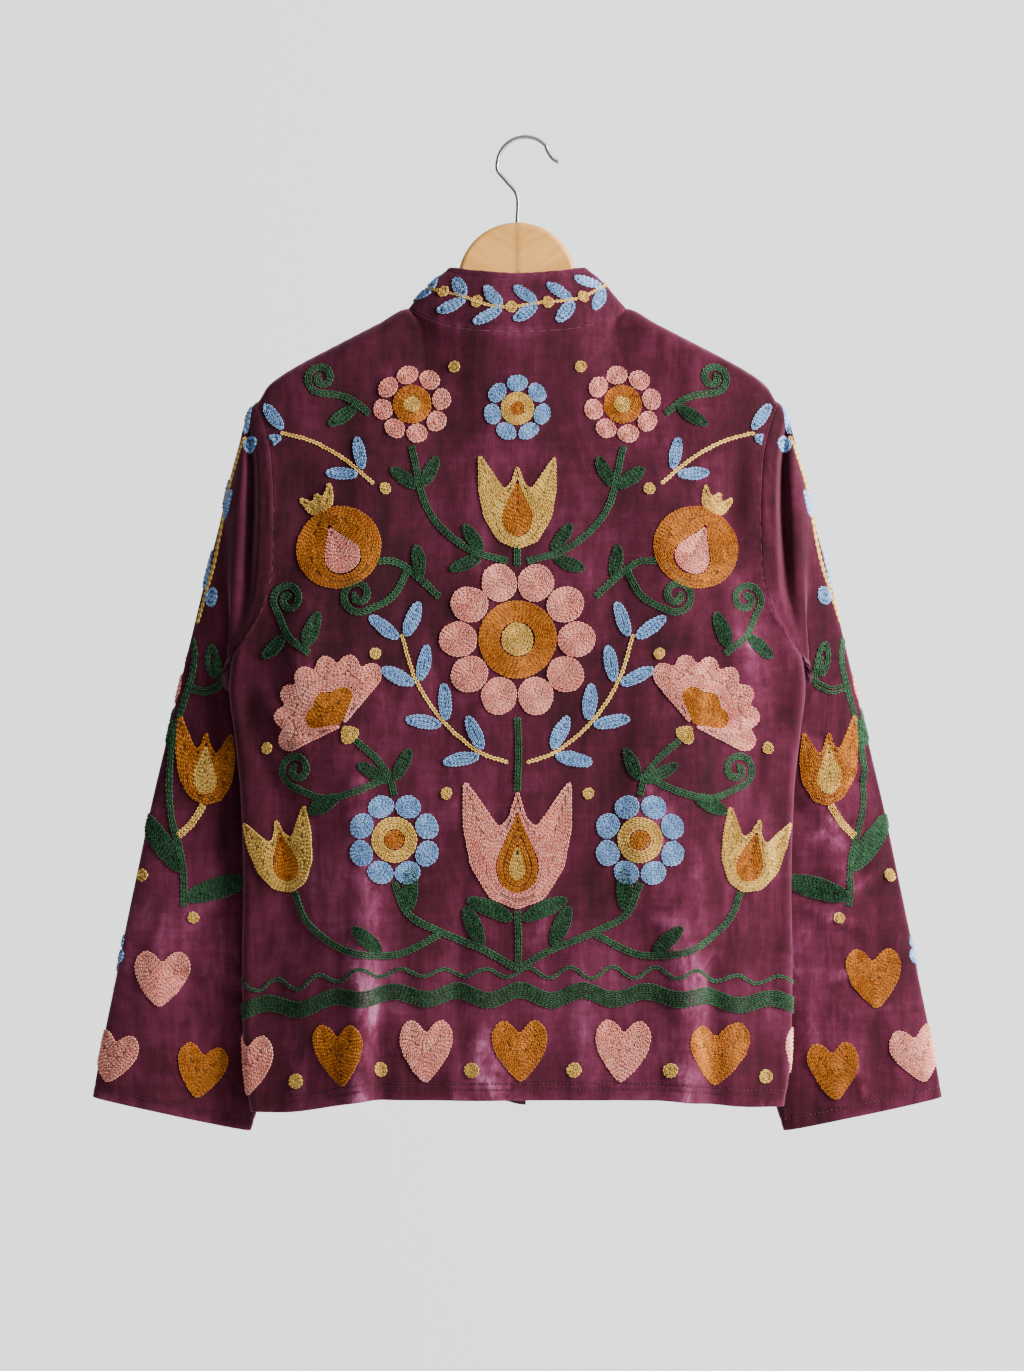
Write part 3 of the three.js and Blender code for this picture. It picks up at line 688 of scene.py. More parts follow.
def rounded_borders(panel, outer, loops, arc_steps=4):
    """Draws the borders in by how far they round over. Gives the rings of points down to the inner face."""
    arcs = []
    for loop in loops:
        way, normal = outward_way(panel, loop)
        size = np.array([s for _, s in loop])[:, None]
        place = np.array([p for p, _ in loop])
        pulled = outer[place[:, 0], place[:, 1]] - way * size
        outer[place[:, 0], place[:, 1]] = pulled
        middle = pulled - normal * WALL / 2
        angles = np.linspace(0, np.pi, arc_steps + 1)[1:-1]
        reach = np.where(size > SEAM_ROUND, size, size + SEAM_LAP)
        arcs.append([middle + normal * WALL / 2 * math.cos(a) + way * reach * math.sin(a) for a in angles])
    return arcs


def shell_mesh(panel):
    """Vertices, faces, material numbers and pile wear with painted highlight, of the closed wall behind a
    panel's outer face.
    """
    rows, columns = panel.points.shape[:2]
    outer = panel.points.copy()
    loops = border_loops(panel)
    arcs = rounded_borders(panel, outer, loops)
    inner = outer - panel.normals * WALL
    count = rows * columns
    number = np.arange(count).reshape(rows, columns)
    wrapped = np.concatenate([number, number[:, :1]], 1) if panel.ring else number
    a, b, c, d = wrapped[:-1, :-1], wrapped[:-1, 1:], wrapped[1:, 1:], wrapped[1:, :-1]
    quads = np.stack([a, b, c, d], -1).reshape(-1, 4)
    faces = [quads, quads[:, ::-1] + count]
    numbers = [np.zeros(len(quads), int), np.ones(len(quads), int)]
    vertices = [outer.reshape(-1, 3), inner.reshape(-1, 3)]
    brushed = [panel.brushed.ravel(), np.zeros(count)]
    start = 2 * count
    for index, (loop, rings) in enumerate(zip(loops, arcs)):
        place = np.array([p for p, _ in loop])
        outer_number = place[:, 0] * columns + place[:, 1]
        chain = [outer_number]
        for points in rings:
            vertices.append(points)
            brushed.append(panel.brushed[place[:, 0], place[:, 1]])
            chain.append(start + np.arange(len(points)))
            start += len(points)
        chain.append(outer_number + count)
        for low, high in zip(chain[:-1], chain[1:]):
            strip = np.stack([low, high, np.roll(high, -1), np.roll(low, -1)], -1)
            faces.append(strip if index == 0 else strip[:, ::-1])
            numbers.append(np.zeros(len(strip), int))
    faces = np.concatenate(faces)
    if panel.outward < 0:
        faces = faces[:, ::-1]
    return np.concatenate(vertices), faces, np.concatenate(numbers), np.concatenate(brushed)


def placed(name, data):
    made = bpy.data.objects.new(name, data)
    bpy.context.scene.collection.objects.link(made)
    return made


def new_mesh(name, vertices, faces, materials, numbers=None, shares=None):
    """A smooth mesh object from arrays in millimetres. faces has one row a face, and shares are read by its
    materials: the velvet's wear and painted highlight, or how high up a strand of thread, for its painted
    shade and highlight."""
    mesh = bpy.data.meshes.new(name)
    corners = faces.shape[1]
    mesh.vertices.add(len(vertices))
    mesh.vertices.foreach_set("co", (np.asarray(vertices, float) * 0.001).astype(np.float32).ravel())
    mesh.loops.add(faces.size)
    mesh.loops.foreach_set("vertex_index", faces.astype(np.int32).ravel())
    mesh.polygons.add(len(faces))
    mesh.polygons.foreach_set("loop_start", np.arange(0, faces.size, corners, dtype=np.int32))
    mesh.polygons.foreach_set("use_smooth", np.ones(len(faces), bool))
    if numbers is not None:
        mesh.polygons.foreach_set("material_index", np.asarray(numbers, np.int32))
    for material in materials:
        mesh.materials.append(material)
    if shares is not None:
        mesh.attributes.new("share", "FLOAT", "POINT").data.foreach_set("value", shares.astype(np.float32))
    mesh.update(calc_edges=True)
    mesh.validate()
    made = placed(name, mesh)
    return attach(made, "root")


# Maps from flat coordinates on the outer faces, u to the right and v up, to points and normals

MAP_STEP = 2.5
MAP_RISE = 3.0
MAP_HEIGHTS = np.arange(HEM_Z - 6, -168, MAP_RISE)


class Map:
    """A regular grid of points and normals over u and v. Places off the cloth give no numbers."""

    def __init__(self, us, vs, layers):
        self.us, self.vs, self.layers = us, vs, layers

    def at(self, uv):
        u, v = uv[:, 0], uv[:, 1]
        i = (v - self.vs[0]) / (self.vs[1] - self.vs[0])
        j = (u - self.us[0]) / (self.us[1] - self.us[0])
        inside = (i >= 0) & (i <= len(self.vs) - 1) & (j >= 0) & (j <= len(self.us) - 1)
        i = np.clip(i, 0, len(self.vs) - 1.001)
        j = np.clip(j, 0, len(self.us) - 1.001)
        r, c = i.astype(int), j.astype(int)
        s, t = (i - r)[:, None], (j - c)[:, None]
        low = lerp(self.layers[r, c], self.layers[r, c + 1], t)
        high = lerp(self.layers[r + 1, c], self.layers[r + 1, c + 1], t)
        both = lerp(low, high, s)
        both[~inside] = np.nan
        return both[:, :3], unit(both[:, 3:])

    def find(self, x, z):
        """The flat place on the back that lies at x and z, seen from behind."""
        points, normals = self.layers[..., :3], self.layers[..., 3:]
        far = (points[..., 0] - x) ** 2 + (points[..., 2] - z) ** 2
        far = np.where(np.isnan(far) | (normals[..., 1] > 0.2), 1e9, far)
        r, c = np.unravel_index(np.argmin(far), far.shape)
        return self.us[c], self.vs[r]


def level_rows(name):
    """A panel's points and normals where each column of its grid crosses each height of the map."""
    columns = panels[name].layers().swapaxes(0, 1)
    return np.stack([read_along(MAP_HEIGHTS, column[:, 2], column, np.nan) for column in columns], 1)


def spread_out(row, start, us):
    """A row of points and normals by its length from the place `start` along it."""
    good = ~np.isnan(row[:, 0])
    if good.sum() < 3 or not good[start]:
        return np.full((len(us), 6), np.nan)
    first, last = start, start
    while first > 0 and good[first - 1]:
        first -= 1
    while last < len(row) - 1 and good[last + 1]:
        last += 1
    part = row[first : last + 1]
    way = way_along(part[:, :3])
    return read_along(us, way - way[start - first], part, np.nan)


def body_map():
    """u runs from the middle of the back round both side seams to the front edges. Above the underarm only
    the back is on it."""
    back = level_rows("back_panel")
    left = level_rows("front_left")[:, ::-1]
    right = level_rows("front_right")
    above = MAP_HEIGHTS > UNDERARM_Z
    left[above], right[above] = np.nan, np.nan
    rows = np.concatenate([left[:, :-1], back, right[:, 1:]], 1)
    middle = left.shape[1] - 1 + back.shape[1] // 2
    us = np.arange(-500, 501, MAP_STEP)
    return Map(us, MAP_HEIGHTS, np.stack([spread_out(row, middle, us) for row in rows]))


def front_map(side_name):
    """u is the distance from the front edge, to the right as seen from the front."""
    us = np.arange(0, 261, MAP_STEP)
    grid = np.stack([spread_out(row, 0, us) for row in level_rows("front_" + side_name)[:, ::-1]])
    if side_name == "right":
        us, grid = -us[::-1], grid[:, ::-1]
    return Map(us, MAP_HEIGHTS, grid)


def sleeve_map(side_name):
    """u is 0 at the outer fold and grows to the right, seen from behind. v is the length up from the cuff."""
    panel = panels["sleeve_" + side_name]
    us = np.arange(-260, 261, MAP_STEP)
    rows = []
    for row in panel.layers():
        row = np.concatenate([row, row[:1]])
        way = way_along(row[:, :3])
        rows.append(read_along(np.mod(us, way[-1]), way, row))
    rows = np.array(rows)
    height = way_along(panel.points.mean(1))
    vs = np.arange(0, height[-1], MAP_RISE)
    above = np.clip(np.searchsorted(height, vs), 1, len(height) - 1)
    share = ((vs - height[above - 1]) / (height[above] - height[above - 1]))[:, None, None]
    grid = lerp(rows[above - 1], rows[above], share)
    return Map(us, vs, grid[:, ::-1] if side_name == "right" else grid)


def collar_map():
    layers = panels["collar"].layers()
    way = way_along(layers[len(layers) // 2][:, :3])
    way -= way[len(way) // 2]
    us = np.arange(-250, 251, MAP_STEP)
    grid = np.stack([read_along(us, way, row, np.nan) for row in layers])
    return Map(us, np.linspace(0, COLLAR_HEIGHT, len(layers)), grid)


# Chain stitch: rows of links, each a loop of two strands that the next link comes out of

STRAND = table(
    "along across half_width height",
    (-0.12, 0.09, 0.13, 0.36),
    (0.50, 0.29, 0.22, 1.00),
    (1.15, 0.07, 0.17, 0.56),
)
# How high up a strand each of its points lies: the thread's material paints shade low down and highlight on
# top.
CREST_SHADE_AND_HIGHLIGHT = np.array([(0.0, 0.26, 0.05), (0.0, 1.0, 0.12), (0.0, 0.38, 0.05)])
LINE_ROW = {"width": 4.3, "link": 3.5, "relief": 1.5}
STEM_ROW = {"width": 4.0, "link": 3.4, "relief": 1.7}
STEM_ASIDE = 1.5
FILL_ROW = {"width": 2.9, "link": 3.2, "relief": 2.0}
FILL_PITCH = 2.6
PAD_STEP = 2.2
PAD_LIFT = 0.6
SEAM_ROW = {"width": 1.3, "link": 3.3, "relief": 0.7, "share": 0.56}

# The hand's unevenness: ranges of a row's link length and of each link's width and height, how far links
# lean and stray in millimetres, and how far an outline wanders

LINK_UNEVEN = (0.86, 1.14)
WIDTH_UNEVEN = (0.92, 1.08)
RELIEF_UNEVEN = (0.84, 1.12)
LINK_LEAN = 0.16
LINK_STRAY = 0.10
OUTLINE_UNEVEN = 0.5
dice = np.random.default_rng(7)


class Stitches:
    """The links of every row, by piece and colour, until they become meshes."""

    def __init__(self):
        self.rows = {}
        self.pads = {}

    def pad(self, area, cells, colour):
        """A thin dark sheet under a fill, painted shade between its rows, in flat cells of four corners each.
        """
        points, normals = area["map"].at(cells.reshape(-1, 2))
        corners = (points + PAD_LIFT * normals).reshape(-1, 4, 3)
        good = ~np.isnan(corners).any((1, 2))
        good &= np.linalg.norm(corners[:, 0] - corners[:, 2], axis=1) < 3 * PAD_STEP
        names = area["names"](cells.mean(1))
        for name in np.unique(names[good]):
            self.pads.setdefault((str(name), colour), []).append(corners[good & (names == name)])

    def chain(self, area, line, colour, kind):
        """A row of links along a line given in the area's flat coordinates."""
        closed = np.linalg.norm(line[0] - line[-1]) < 0.5
        total = np.linalg.norm(np.diff(line, axis=0), axis=1).sum()
        if total < 3:
            return
        step = min(kind["link"] * dice.uniform(*LINK_UNEVEN), total / 3)
        line = resampled(line, step, False)
        points, normals = area["map"].at(line)
        if closed:
            points[-1], normals[-1] = points[0], normals[0]
        start, way = points[:-1], np.diff(points, axis=0)
        normal = unit(normals[:-1] + normals[1:])
        length = np.linalg.norm(way, axis=1)
        good = ~np.isnan(length) & (length < step * 1.8) & (length > step * 0.3)
        if not good.any():
            return
        size = np.tile([kind["width"], kind["relief"]], (good.sum(), 1))
        way = way * kind.get("share", 1.0)
        made = np.concatenate([start[good], way[good], normal[good], size], 1)
        names = area["names"](line[:-1][good])
        for name in np.unique(names):
            self.rows.setdefault((str(name), colour), []).append(made[names == name])

    def meshes(self, materials):
        made = {}
        for (area, colour), rows in self.rows.items():
            vertices, faces = link_mesh(np.concatenate(rows))
            strand_shade_and_highlight = np.tile(CREST_SHADE_AND_HIGHLIGHT.ravel(), len(vertices) // CREST_SHADE_AND_HIGHLIGHT.size)
            pads = self.pads.get((area, colour))
            if pads:
                corners = np.concatenate(pads).reshape(-1, 3)
                faces = np.concatenate([faces, len(vertices) + np.arange(len(corners)).reshape(-1, 4)])
                vertices = np.concatenate([vertices, corners])
                # The sheet gets a low number: its thread at its darkest, as painted shade between the rows.
                strand_shade_and_highlight = np.concatenate([strand_shade_and_highlight, np.full(len(corners), 0.1)])
            name = f"stitches_{area}_{colour}"
            piece = new_mesh(name, vertices, faces, [materials[colour]], shares=strand_shade_and_highlight)
            made.setdefault(area, []).append(piece)
        return made


def link_mesh(links):
    """Vertices and faces for links given as start, way to the next, normal, width and relief."""
    count = len(links)
    start, way, normal = links[:, :3], links[:, 3:6], links[:, 6:9]
    width = links[:, 9] * dice.uniform(*WIDTH_UNEVEN, count)
    relief = links[:, 10] * dice.uniform(*RELIEF_UNEVEN, count)
    across = unit(np.cross(normal, way))
    way = way + across * dice.normal(0, LINK_LEAN, count)[:, None]
    start = start + across * dice.normal(0, LINK_STRAY, count)[:, None]
    vertices = np.empty((count, 2, 3, 3, 3))
    for s, side in enumerate((1, -1)):
        for k, section in enumerate(STRAND):
            for p, (reach, high) in enumerate(((1, -0.3), (0, section["height"]), (-1, 0.05))):
                aside = side * (section["across"] + reach * section["half_width"]) * width
                rise = high * relief
                place = start + way * section["along"] + across * aside[:, None] + normal * rise[:, None]
                vertices[:, s, k, p] = place
    number = np.arange(18).reshape(2, 3, 3)
    quads = []
    for s in (0, 1):
        for k in (0, 1):
            for p in (0, 1):
                quad = [number[s, k, p], number[s, k, p + 1], number[s, k + 1, p + 1], number[s, k + 1, p]]
                quads.append(quad if s == 0 else quad[::-1])
    quads = np.array(quads)
    faces = (quads[None] + 18 * np.arange(count)[:, None, None]).reshape(-1, 4)
    return vertices.reshape(-1, 3), faces


# Fills: rows that follow a shape's outline inwards


def signed_distance(points, outline):
    """How far inside a closed outline each point lies, or below 0 outside it."""
    a, b = outline, np.roll(outline, -1, 0)
    edge = b - a
    offset = points[:, None] - a[None]
    t = np.clip((offset * edge).sum(-1) / np.maximum((edge * edge).sum(-1), 1e-9), 0, 1)
    far = np.linalg.norm(offset - edge * t[..., None], axis=-1).min(1)
    y = points[:, 1:2]
    spans = (a[None, :, 1] > y) != (b[None, :, 1] > y)
    rise = np.where(np.abs(edge[:, 1]) < 1e-12, 1e-12, edge[:, 1])
    cross = a[None, :, 0] + (y - a[None, :, 1]) / rise * edge[:, 0]
    inside = (spans & (points[:, 0:1] < cross)).sum(1) % 2 == 1
    return np.where(inside, far, -far)


def level_lines(field, level, low, step):
    """The lines along which a field on a square grid has the level."""
    above = field > level
    cut_h = above[:, :-1] != above[:, 1:]
    cut_v = above[:-1] != above[1:]
    links = {}
    rows, columns = np.nonzero(cut_h[:-1] | cut_h[1:] | cut_v[:, :-1] | cut_v[:, 1:])
    for r, c in zip(rows.tolist(), columns.tolist()):
        sides = ((0, r, c), (1, r, c + 1), (0, r + 1, c), (1, r, c))
        cuts = [cut for cut in sides if (cut_v if cut[0] else cut_h)[cut[1:]]]
        for one, two in zip(cuts[::2], cuts[1::2]):
            links.setdefault(one, []).append(two)
            links.setdefault(two, []).append(one)

    def place(cut):
        kind, r, c = cut
        near = field[r, c]
        far = field[r, c + 1] if kind == 0 else field[r + 1, c]
        t = (level - near) / (far - near)
        return (low[0] + step * (c + (t if kind == 0 else 0)), low[1] + step * (r + (t if kind == 1 else 0)))

    lines = []
    while links:
        first = next((cut for cut, near in links.items() if len(near) == 1), next(iter(links)))
        line, here = [first], first
        while links.get(here):
            ahead = links[here].pop()
            links[ahead].remove(here)
            if not links[here]:
                del links[here]
            line.append(ahead)
            here = ahead
        links.pop(here, None)
        lines.append(np.array([place(cut) for cut in line]))
    return lines


def filled(outline, holes=(), step=PAD_STEP / 2):
    """The rows that fill a shape, each at an even distance inside its outline and round its holes, and the
    cells of the dark sheet under them, which paints the shade between the rows."""
    low = outline.min(0) - 2 * step
    size = np.ceil((outline.max(0) + 3 * step - low) / step).astype(int)
    gx, gy = np.meshgrid(low[0] + step * np.arange(size[0]), low[1] + step * np.arange(size[1]))
    grid = np.stack([gx, gy], -1)
    field = signed_distance(grid.reshape(-1, 2), outline)
    for hole in holes:
        field = np.minimum(field, -signed_distance(grid.reshape(-1, 2), hole))
    field = field.reshape(gx.shape)
    deepest = field.max()
    rows = max(math.ceil(deepest / FILL_PITCH - 0.2), 1)
    spacing = deepest / rows
    lines = []
    for i in range(rows):
        lines += [line for line in level_lines(field, spacing * (i + 0.45), low, step) if len(line) > 2]
    corners = ((slice(0, -2, 2), slice(0, -2, 2)), (slice(0, -2, 2), slice(2, None, 2)))
    corners += ((slice(2, None, 2), slice(2, None, 2)), (slice(2, None, 2), slice(0, -2, 2)))
    deep = np.min([field[c] for c in corners], axis=0) > 0.7
    cells = np.stack([grid[c] for c in corners], -2)[deep]
    return lines, cells


# Outlines and lines of the motifs, in millimetres about their own origin, y up


def circle(radius, count=40):
    return polar(radius, np.arange(count) / count * 2 * np.pi)


def rounded_outline(right, width, height, rounds=2, step=2.0):
    """A closed outline from its right half, from the top down in shares of half the width and the height."""
    right = np.array(right) * [width / 2, height]
    return eased(resampled(np.concatenate([right, right[::-1] * [-1, 1]]), step, True), rounds)


def heart(width, height):
    """A heart about its middle."""
    right = [(0, 0.52), (0.28, 0.86), (0.62, 1), (0.93, 0.72), (1, 0.34)]
    right += [(0.86, -0.08), (0.56, -0.5), (0.2, -0.88), (0, -1.02)]
    return rounded_outline(right, width, height / 2)


def leaf(length, width, blunt=0.5):
    """A leaf that grows up from its origin. blunt is 0 for a pointed tip and 1 for a round one."""
    t = np.linspace(0, 1, 26)
    body = np.sin(np.pi * t ** (0.75 + 0.25 * blunt)) ** (0.9 - 0.45 * blunt)
    right = np.stack([width / 2 * body, length * t], -1)
    return np.concatenate([right, right[-2:0:-1] * [-1, 1]])


def tulip(width, height):
    """Three pointed petals on a round base."""
    right = [(0, 0.92), (0.16, 0.70), (0.34, 0.62), (0.74, 0.86), (1, 1)]
    right += [(1, 0.62), (0.86, 0.32), (0.5, 0.08), (0, 0)]
    return rounded_outline(right, width, height)


def bud(width, height):
    """A drop with its tip up."""
    right = [(0, 1), (0.2, 0.82), (0.62, 0.58), (0.98, 0.34), (0.86, 0.12), (0.4, 0), (0, -0.02)]
    return rounded_outline(right, width, height, 3)


def fan(radius, lobes, spread):
    """A flower seen from its side: round lobes along an arc, on a narrow foot."""
    angles = np.radians(np.linspace(90 - spread / 2, 90 + spread / 2, lobes * 10 + 1))
    wave = np.abs(np.sin(np.linspace(0, lobes * np.pi, len(angles)))) ** 0.8
    arc = polar(radius * (0.84 + 0.16 * wave), angles)
    return eased(resampled(np.concatenate([arc, [[0.0, -0.08 * radius]]]), 2.0, True), 1)


def crown(width, height):
    """The three points on a pomegranate."""
    right = [(0, 0.78), (0.3, 0.42), (0.95, 1), (0.8, 0.4), (0.62, 0), (0, -0.08)]
    return rounded_outline(right, width, height, 1, 1.6)


def moved(points, place, turn):
    """Points turned by degrees about their origin and set at a place."""
    angle = math.radians(turn)
    spin = np.array([[math.cos(angle), math.sin(angle)], [-math.sin(angle), math.cos(angle)]])
    return points @ spin + np.array(place, float)


def offset(place, turn, right=0.0, up=0.0):
    """The place that lies to the right of and above another, in a turned frame."""
    return moved(np.array([[right, up]]), place, turn)[0]


def flowing(*points):
    """A smooth line through a few points."""
    return catmull_rom(np.array(points, float), 12)


def spiral(radius, turns, start, way):
    """A curl that winds in from its outer end at `start` degrees."""
    t = np.linspace(0, 1, int(40 * turns))
    return polar(radius * (1 - t) ** 0.85, math.radians(start) + way * t * turns * 2 * np.pi)


def wave_line(low, high, base, height, length, phase=0.0):
    """A wavy line across the body at `base`, which follows the hem's own line a little."""
    u = np.arange(low, high, 2.0)
    wave = np.sin(2 * np.pi * u / length + phase + 0.6 * np.sin(u / 90))
    uneven = 1 + 0.25 * np.sin(u / 47 + phase)
    return np.stack([u, base + height * wave * uneven + hem_line(u)], -1)


def hem_line(u):
    """The hem's height over its lowest line, by the distance from the middle of the back."""
    return hem_rise(u, np.clip(np.abs(u) / 240, 0, 1))


# Sewing: how each motif is filled, and where the motifs stand


def uneven(outline):
    """An outline with a hand's slight unevenness."""
    count = len(outline)
    along = unit(np.roll(outline, -1, 0) - np.roll(outline, 1, 0))
    normal = np.stack([along[:, 1], -along[:, 0]], -1)
    t = np.arange(count) / count * 2 * np.pi
    wave = sum(dice.normal(0, OUTLINE_UNEVEN / k) * np.sin(k * t + dice.uniform(0, 6.3)) for k in (2, 3, 5))
    return outline + normal * wave[:, None]


def sew_fill(area, outline, colour, place=(0, 0), turn=0.0, holes=()):
    lines, cells = filled(uneven(outline), holes)
    for line in lines:
        sewing.chain(area, moved(line, place, turn), colour, FILL_ROW)
    sewing.pad(area, moved(cells.reshape(-1, 2), place, turn).reshape(-1, 4, 2), colour)


def sew_line(area, line, colour):
    sewing.chain(area, np.asarray(line, float), colour, LINE_ROW)


def sew_stem(area, line, colour="green"):
    """Two rows side by side."""
    line = resampled(np.asarray(line, float), 2.5, False)
    along = unit(np.gradient(line, axis=0))
    normal = np.stack([-along[:, 1], along[:, 0]], -1)
    for way in (STEM_ASIDE, -STEM_ASIDE):
        sewing.chain(area, line + way * normal, colour, STEM_ROW)


def sew_leaf(area, place, turn, length=34, width=11, colour="green", blunt=0.9):
    sew_fill(area, leaf(length, width, blunt), colour, place, turn)


def sew_leaves(area, line, colour, spacing, length, width, start=0.15, end=1.0, ways=((1, -1),), angle=42):
    """Leaves along a stem. ways says for each place in turn on which sides they grow: 1 is to the left."""
    way = way_along(line)
    count = max(int((end - start) * way[-1] / spacing), 1)
    for i, place in enumerate(np.linspace(start, end, count) * way[-1]):
        back, here, ahead = read_along(place + np.array([-3, 0, 3]), way, line)
        heading = math.degrees(math.atan2(*(ahead - back)[::-1])) - 90
        for side in ways[i % len(ways)]:
            foot = offset(here, heading, -side * 2.4)
            sew_leaf(area, foot, heading + side * angle, length, width, colour)


def sew_curl(area, stem, radius, way=1, turns=1.6, colour="green"):
    """A stem that ends in a spiral."""
    end = stem[-1]
    heading = math.atan2(*(stem[-1] - stem[-2])[::-1])
    centre = end + radius * np.array([-math.sin(heading), math.cos(heading)]) * way
    start = math.degrees(math.atan2(*(end - centre)[::-1]))
    curl = spiral(radius, turns, start, way) + centre
    sew_stem(area, np.concatenate([stem, curl[1:-6]]), colour)


def sew_heart(area, place, colour, turn=0.0, width=44, height=50):
    sew_fill(area, heart(width, height), colour, place, turn)


DOT_RADIUS = 6.4
SPECK_RADIUS = 5.2


def sew_dot(area, place, radius=DOT_RADIUS):
    sew_fill(area, circle(radius, 24), "gold", place)


def sew_specks(area, spot, *places):
    """Small gold dots."""
    for u, v in places:
        sew_dot(area, spot(u, v), SPECK_RADIUS)


def sew_rosette(area, place, petals, radius, colour, ring, middle, turn=0.0):
    """Petals round a ring with a disc in its middle."""
    core = radius * 0.50
    length = radius - core
    width = 2 * math.pi * (core + length * 0.55) / petals * 0.94
    for i in range(petals):
        angle = 360 / petals * i + turn
        foot = offset(place, angle, up=core + 0.6)
        sew_fill(area, leaf(length, width, 1.0), colour, foot, angle)
    disc = circle(core * 0.46, 30)
    sew_fill(area, circle(core, 50), ring, place, holes=[disc])
    sew_fill(area, disc * 0.93, middle, place)


def sew_tulip(area, place, turn, width, height, colour, heart_colour, drop=None):
    inner = bud(width * 0.40, height * 0.62) + [0, 0.14 * height]
    sew_fill(area, tulip(width, height), colour, place, turn, holes=[inner * [1.04, 1.0]])
    holes = []
    if drop:
        small = bud(width * 0.16, height * 0.30) + [0, 0.22 * height]
        holes = [small]
        sew_fill(area, small, drop, place, turn)
    sew_fill(area, inner, heart_colour, place, turn, holes=holes)


def sew_pomegranate(area, place, turn, radius, colour, seed, crown_colour):
    body = circle(radius, 50) * [1.0, 0.94]
    inner = bud(radius * 0.95, radius * 1.25) - [0, radius * 0.62]
    sew_fill(area, body, colour, place, turn, holes=[inner])
    sew_fill(area, inner * 0.95, seed, place, turn)
    top = offset(place, turn, up=radius * 0.93)
    sew_fill(area, crown(radius * 0.95, radius * 0.62), crown_colour, top, turn)


def sew_fan(area, place, turn, radius, colour, middle, foot):
    inner = fan(radius * 0.52, 3, 130)
    sew_fill(area, fan(radius, 7, 165), colour, place, turn, holes=[inner])
    sew_fill(area, inner, middle, place, turn)
    base = offset(place, turn, up=-0.34 * radius)
    sew_fill(area, bud(radius * 0.34, radius * 0.30), foot, base, turn)


def sew_sprig(area, line, stem_colour, leaf_colour, spacing, length, width, end=0.98):
    if stem_colour == "green":
        sew_stem(area, line)
    else:
        sew_line(area, line, stem_colour)
    sew_leaves(area, line, leaf_colour, spacing, length, width, 0.16, end, angle=38)


HEARTS = table(
    "u lift colour turn width",
    (-409, 0, "pink", 2, 47),
    (-325, 1, "ochre", -2, 47),
    (-241, -2, "pink", -4, 47),
    (-157, 0, "ochre", 3, 46),
    (-78, 0, "pink", -1, 46),
    (2, 0, "ochre", 2, 47),
    (89, 0, "pink", -3, 48),
    (177, 1, "ochre", 2, 61),
    (262, 0, "pink", 3, 48),
    (345, -1, "ochre", -2, 47),
    (429, 0, "pink", 1, 47),
)
HEART_HEIGHT = 54.0
HEARTS_BASE = -784.0
DOTS = (-367, -283, -197, -117, -39, 48, 130, 222, 303, 387)
DOTS_BASE = -800.0
THIN_WAVE = {"base": -718.0, "height": 4.2, "length": 37.0}
THICK_WAVE = {"base": -737.0, "height": 3.6, "length": 56.0, "rows": 5, "pitch": 2.9}


def sew_hem(area):
    """The border along the hem: a thin and a thick wavy line, and hearts with dots between them."""
    ends = (-490, 490)
    sew_line(area, wave_line(*ends, THIN_WAVE["base"], THIN_WAVE["height"], THIN_WAVE["length"]), "green")
    for i in range(THICK_WAVE["rows"]):
        base = THICK_WAVE["base"] + (i - (THICK_WAVE["rows"] - 1) / 2) * THICK_WAVE["pitch"]
        line = wave_line(*ends, base, THICK_WAVE["height"], THICK_WAVE["length"], 1.3)
        sewing.chain(area, line, "green", FILL_ROW | {"width": 3.3})
    for row in HEARTS:
        lift = hem_line(np.array([row["u"]]))[0] + row["lift"]
        place = (row["u"], HEARTS_BASE + lift)
        sew_heart(area, place, row["colour"], row["turn"], row["width"], HEART_HEIGHT)
    for u in DOTS:
        sew_dot(area, (u, DOTS_BASE + hem_line(np.array([u]))[0]))


def sew_back(area):
    """The garden on the back: a rosette over a tulip, with flowers on curling stems to both sides."""
    sew_stem(area, flowing((0, -708), (1, -684), (0, -657)))
    sew_tulip(area, (0, -656), 0, 92, 112, "pink", "ochre", "gold")
    sew_stem(area, flowing((0, -556), (1, -525), (0, -494)))
    sew_rosette(area, (0, -428), 10, 66, "pink", "ochre", "gold", 18)
    sew_stem(area, flowing((0, -366), (0, -356), (0, -348)))
    sew_tulip(area, (0, -352), 0, 66, 82, "gold", "ochre")
    sew_rosette(area, (0, -232), 7, 28, "blue", "gold", "ochre")
    for side in (1, -1):
        sew_low_side(area, side)
        sew_high_side(area, side)


def sided(side):
    """Makers of a smooth line and of a place, mirrored where side is -1."""

    def line(*points):
        return flowing(*[(side * u, v) for u, v in points])

    def spot(u, v):
        return (side * u, v)

    return line, spot


def sew_low_side(area, side):
    """One half of the garden from the border up to the waist. side is 1 on the right and -1 on the left."""
    line, spot = sided(side)
    low = line((3, -704), (28, -690), (62, -676), (92, -660), (104, -633))
    sew_leaf(area, spot(3, -664), side * -66, 44, 14)
    sew_stem(area, low)
    sew_leaves(area, low, "green", 34, 38, 14, 0.24, 0.78, ((side,),))
    sew_rosette(area, spot(104, -597), 8, 39, "blue", "gold", "ochre", 22)
    outer = line((66, -677), (104, -694), (148, -690), (180, -668), (192, -642))
    sew_stem(area, outer)
    sew_leaves(area, outer, "green", 40, 34, 13, 0.34, 0.74, ((side,),))
    sew_tulip(area, spot(194, -642), side * -14, 60, 72, "gold", "ochre")
    rise = line((104, -560), (108, -544), (120, -528), (137, -513))
    sew_stem(area, rise)
    sew_leaves(area, rise, "green", 30, 32, 12, 0.2, 0.5)
    sew_fan(area, spot(150, -498), side * -38, 58, "pink", "ochre", "gold")
    spray = line((8, -532), (34, -522), (64, -496), (86, -462), (98, -424))
    sew_sprig(area, spray, "gold", "blue", 29, 33, 12)
    sew_curl(area, line((110, -544), (136, -556), (166, -562), (194, -552)), 15, side)
    sew_leaf(area, spot(150, -560), side * -116, 34, 13)
    sew_specks(area, spot, (60, -558), (216, -520))


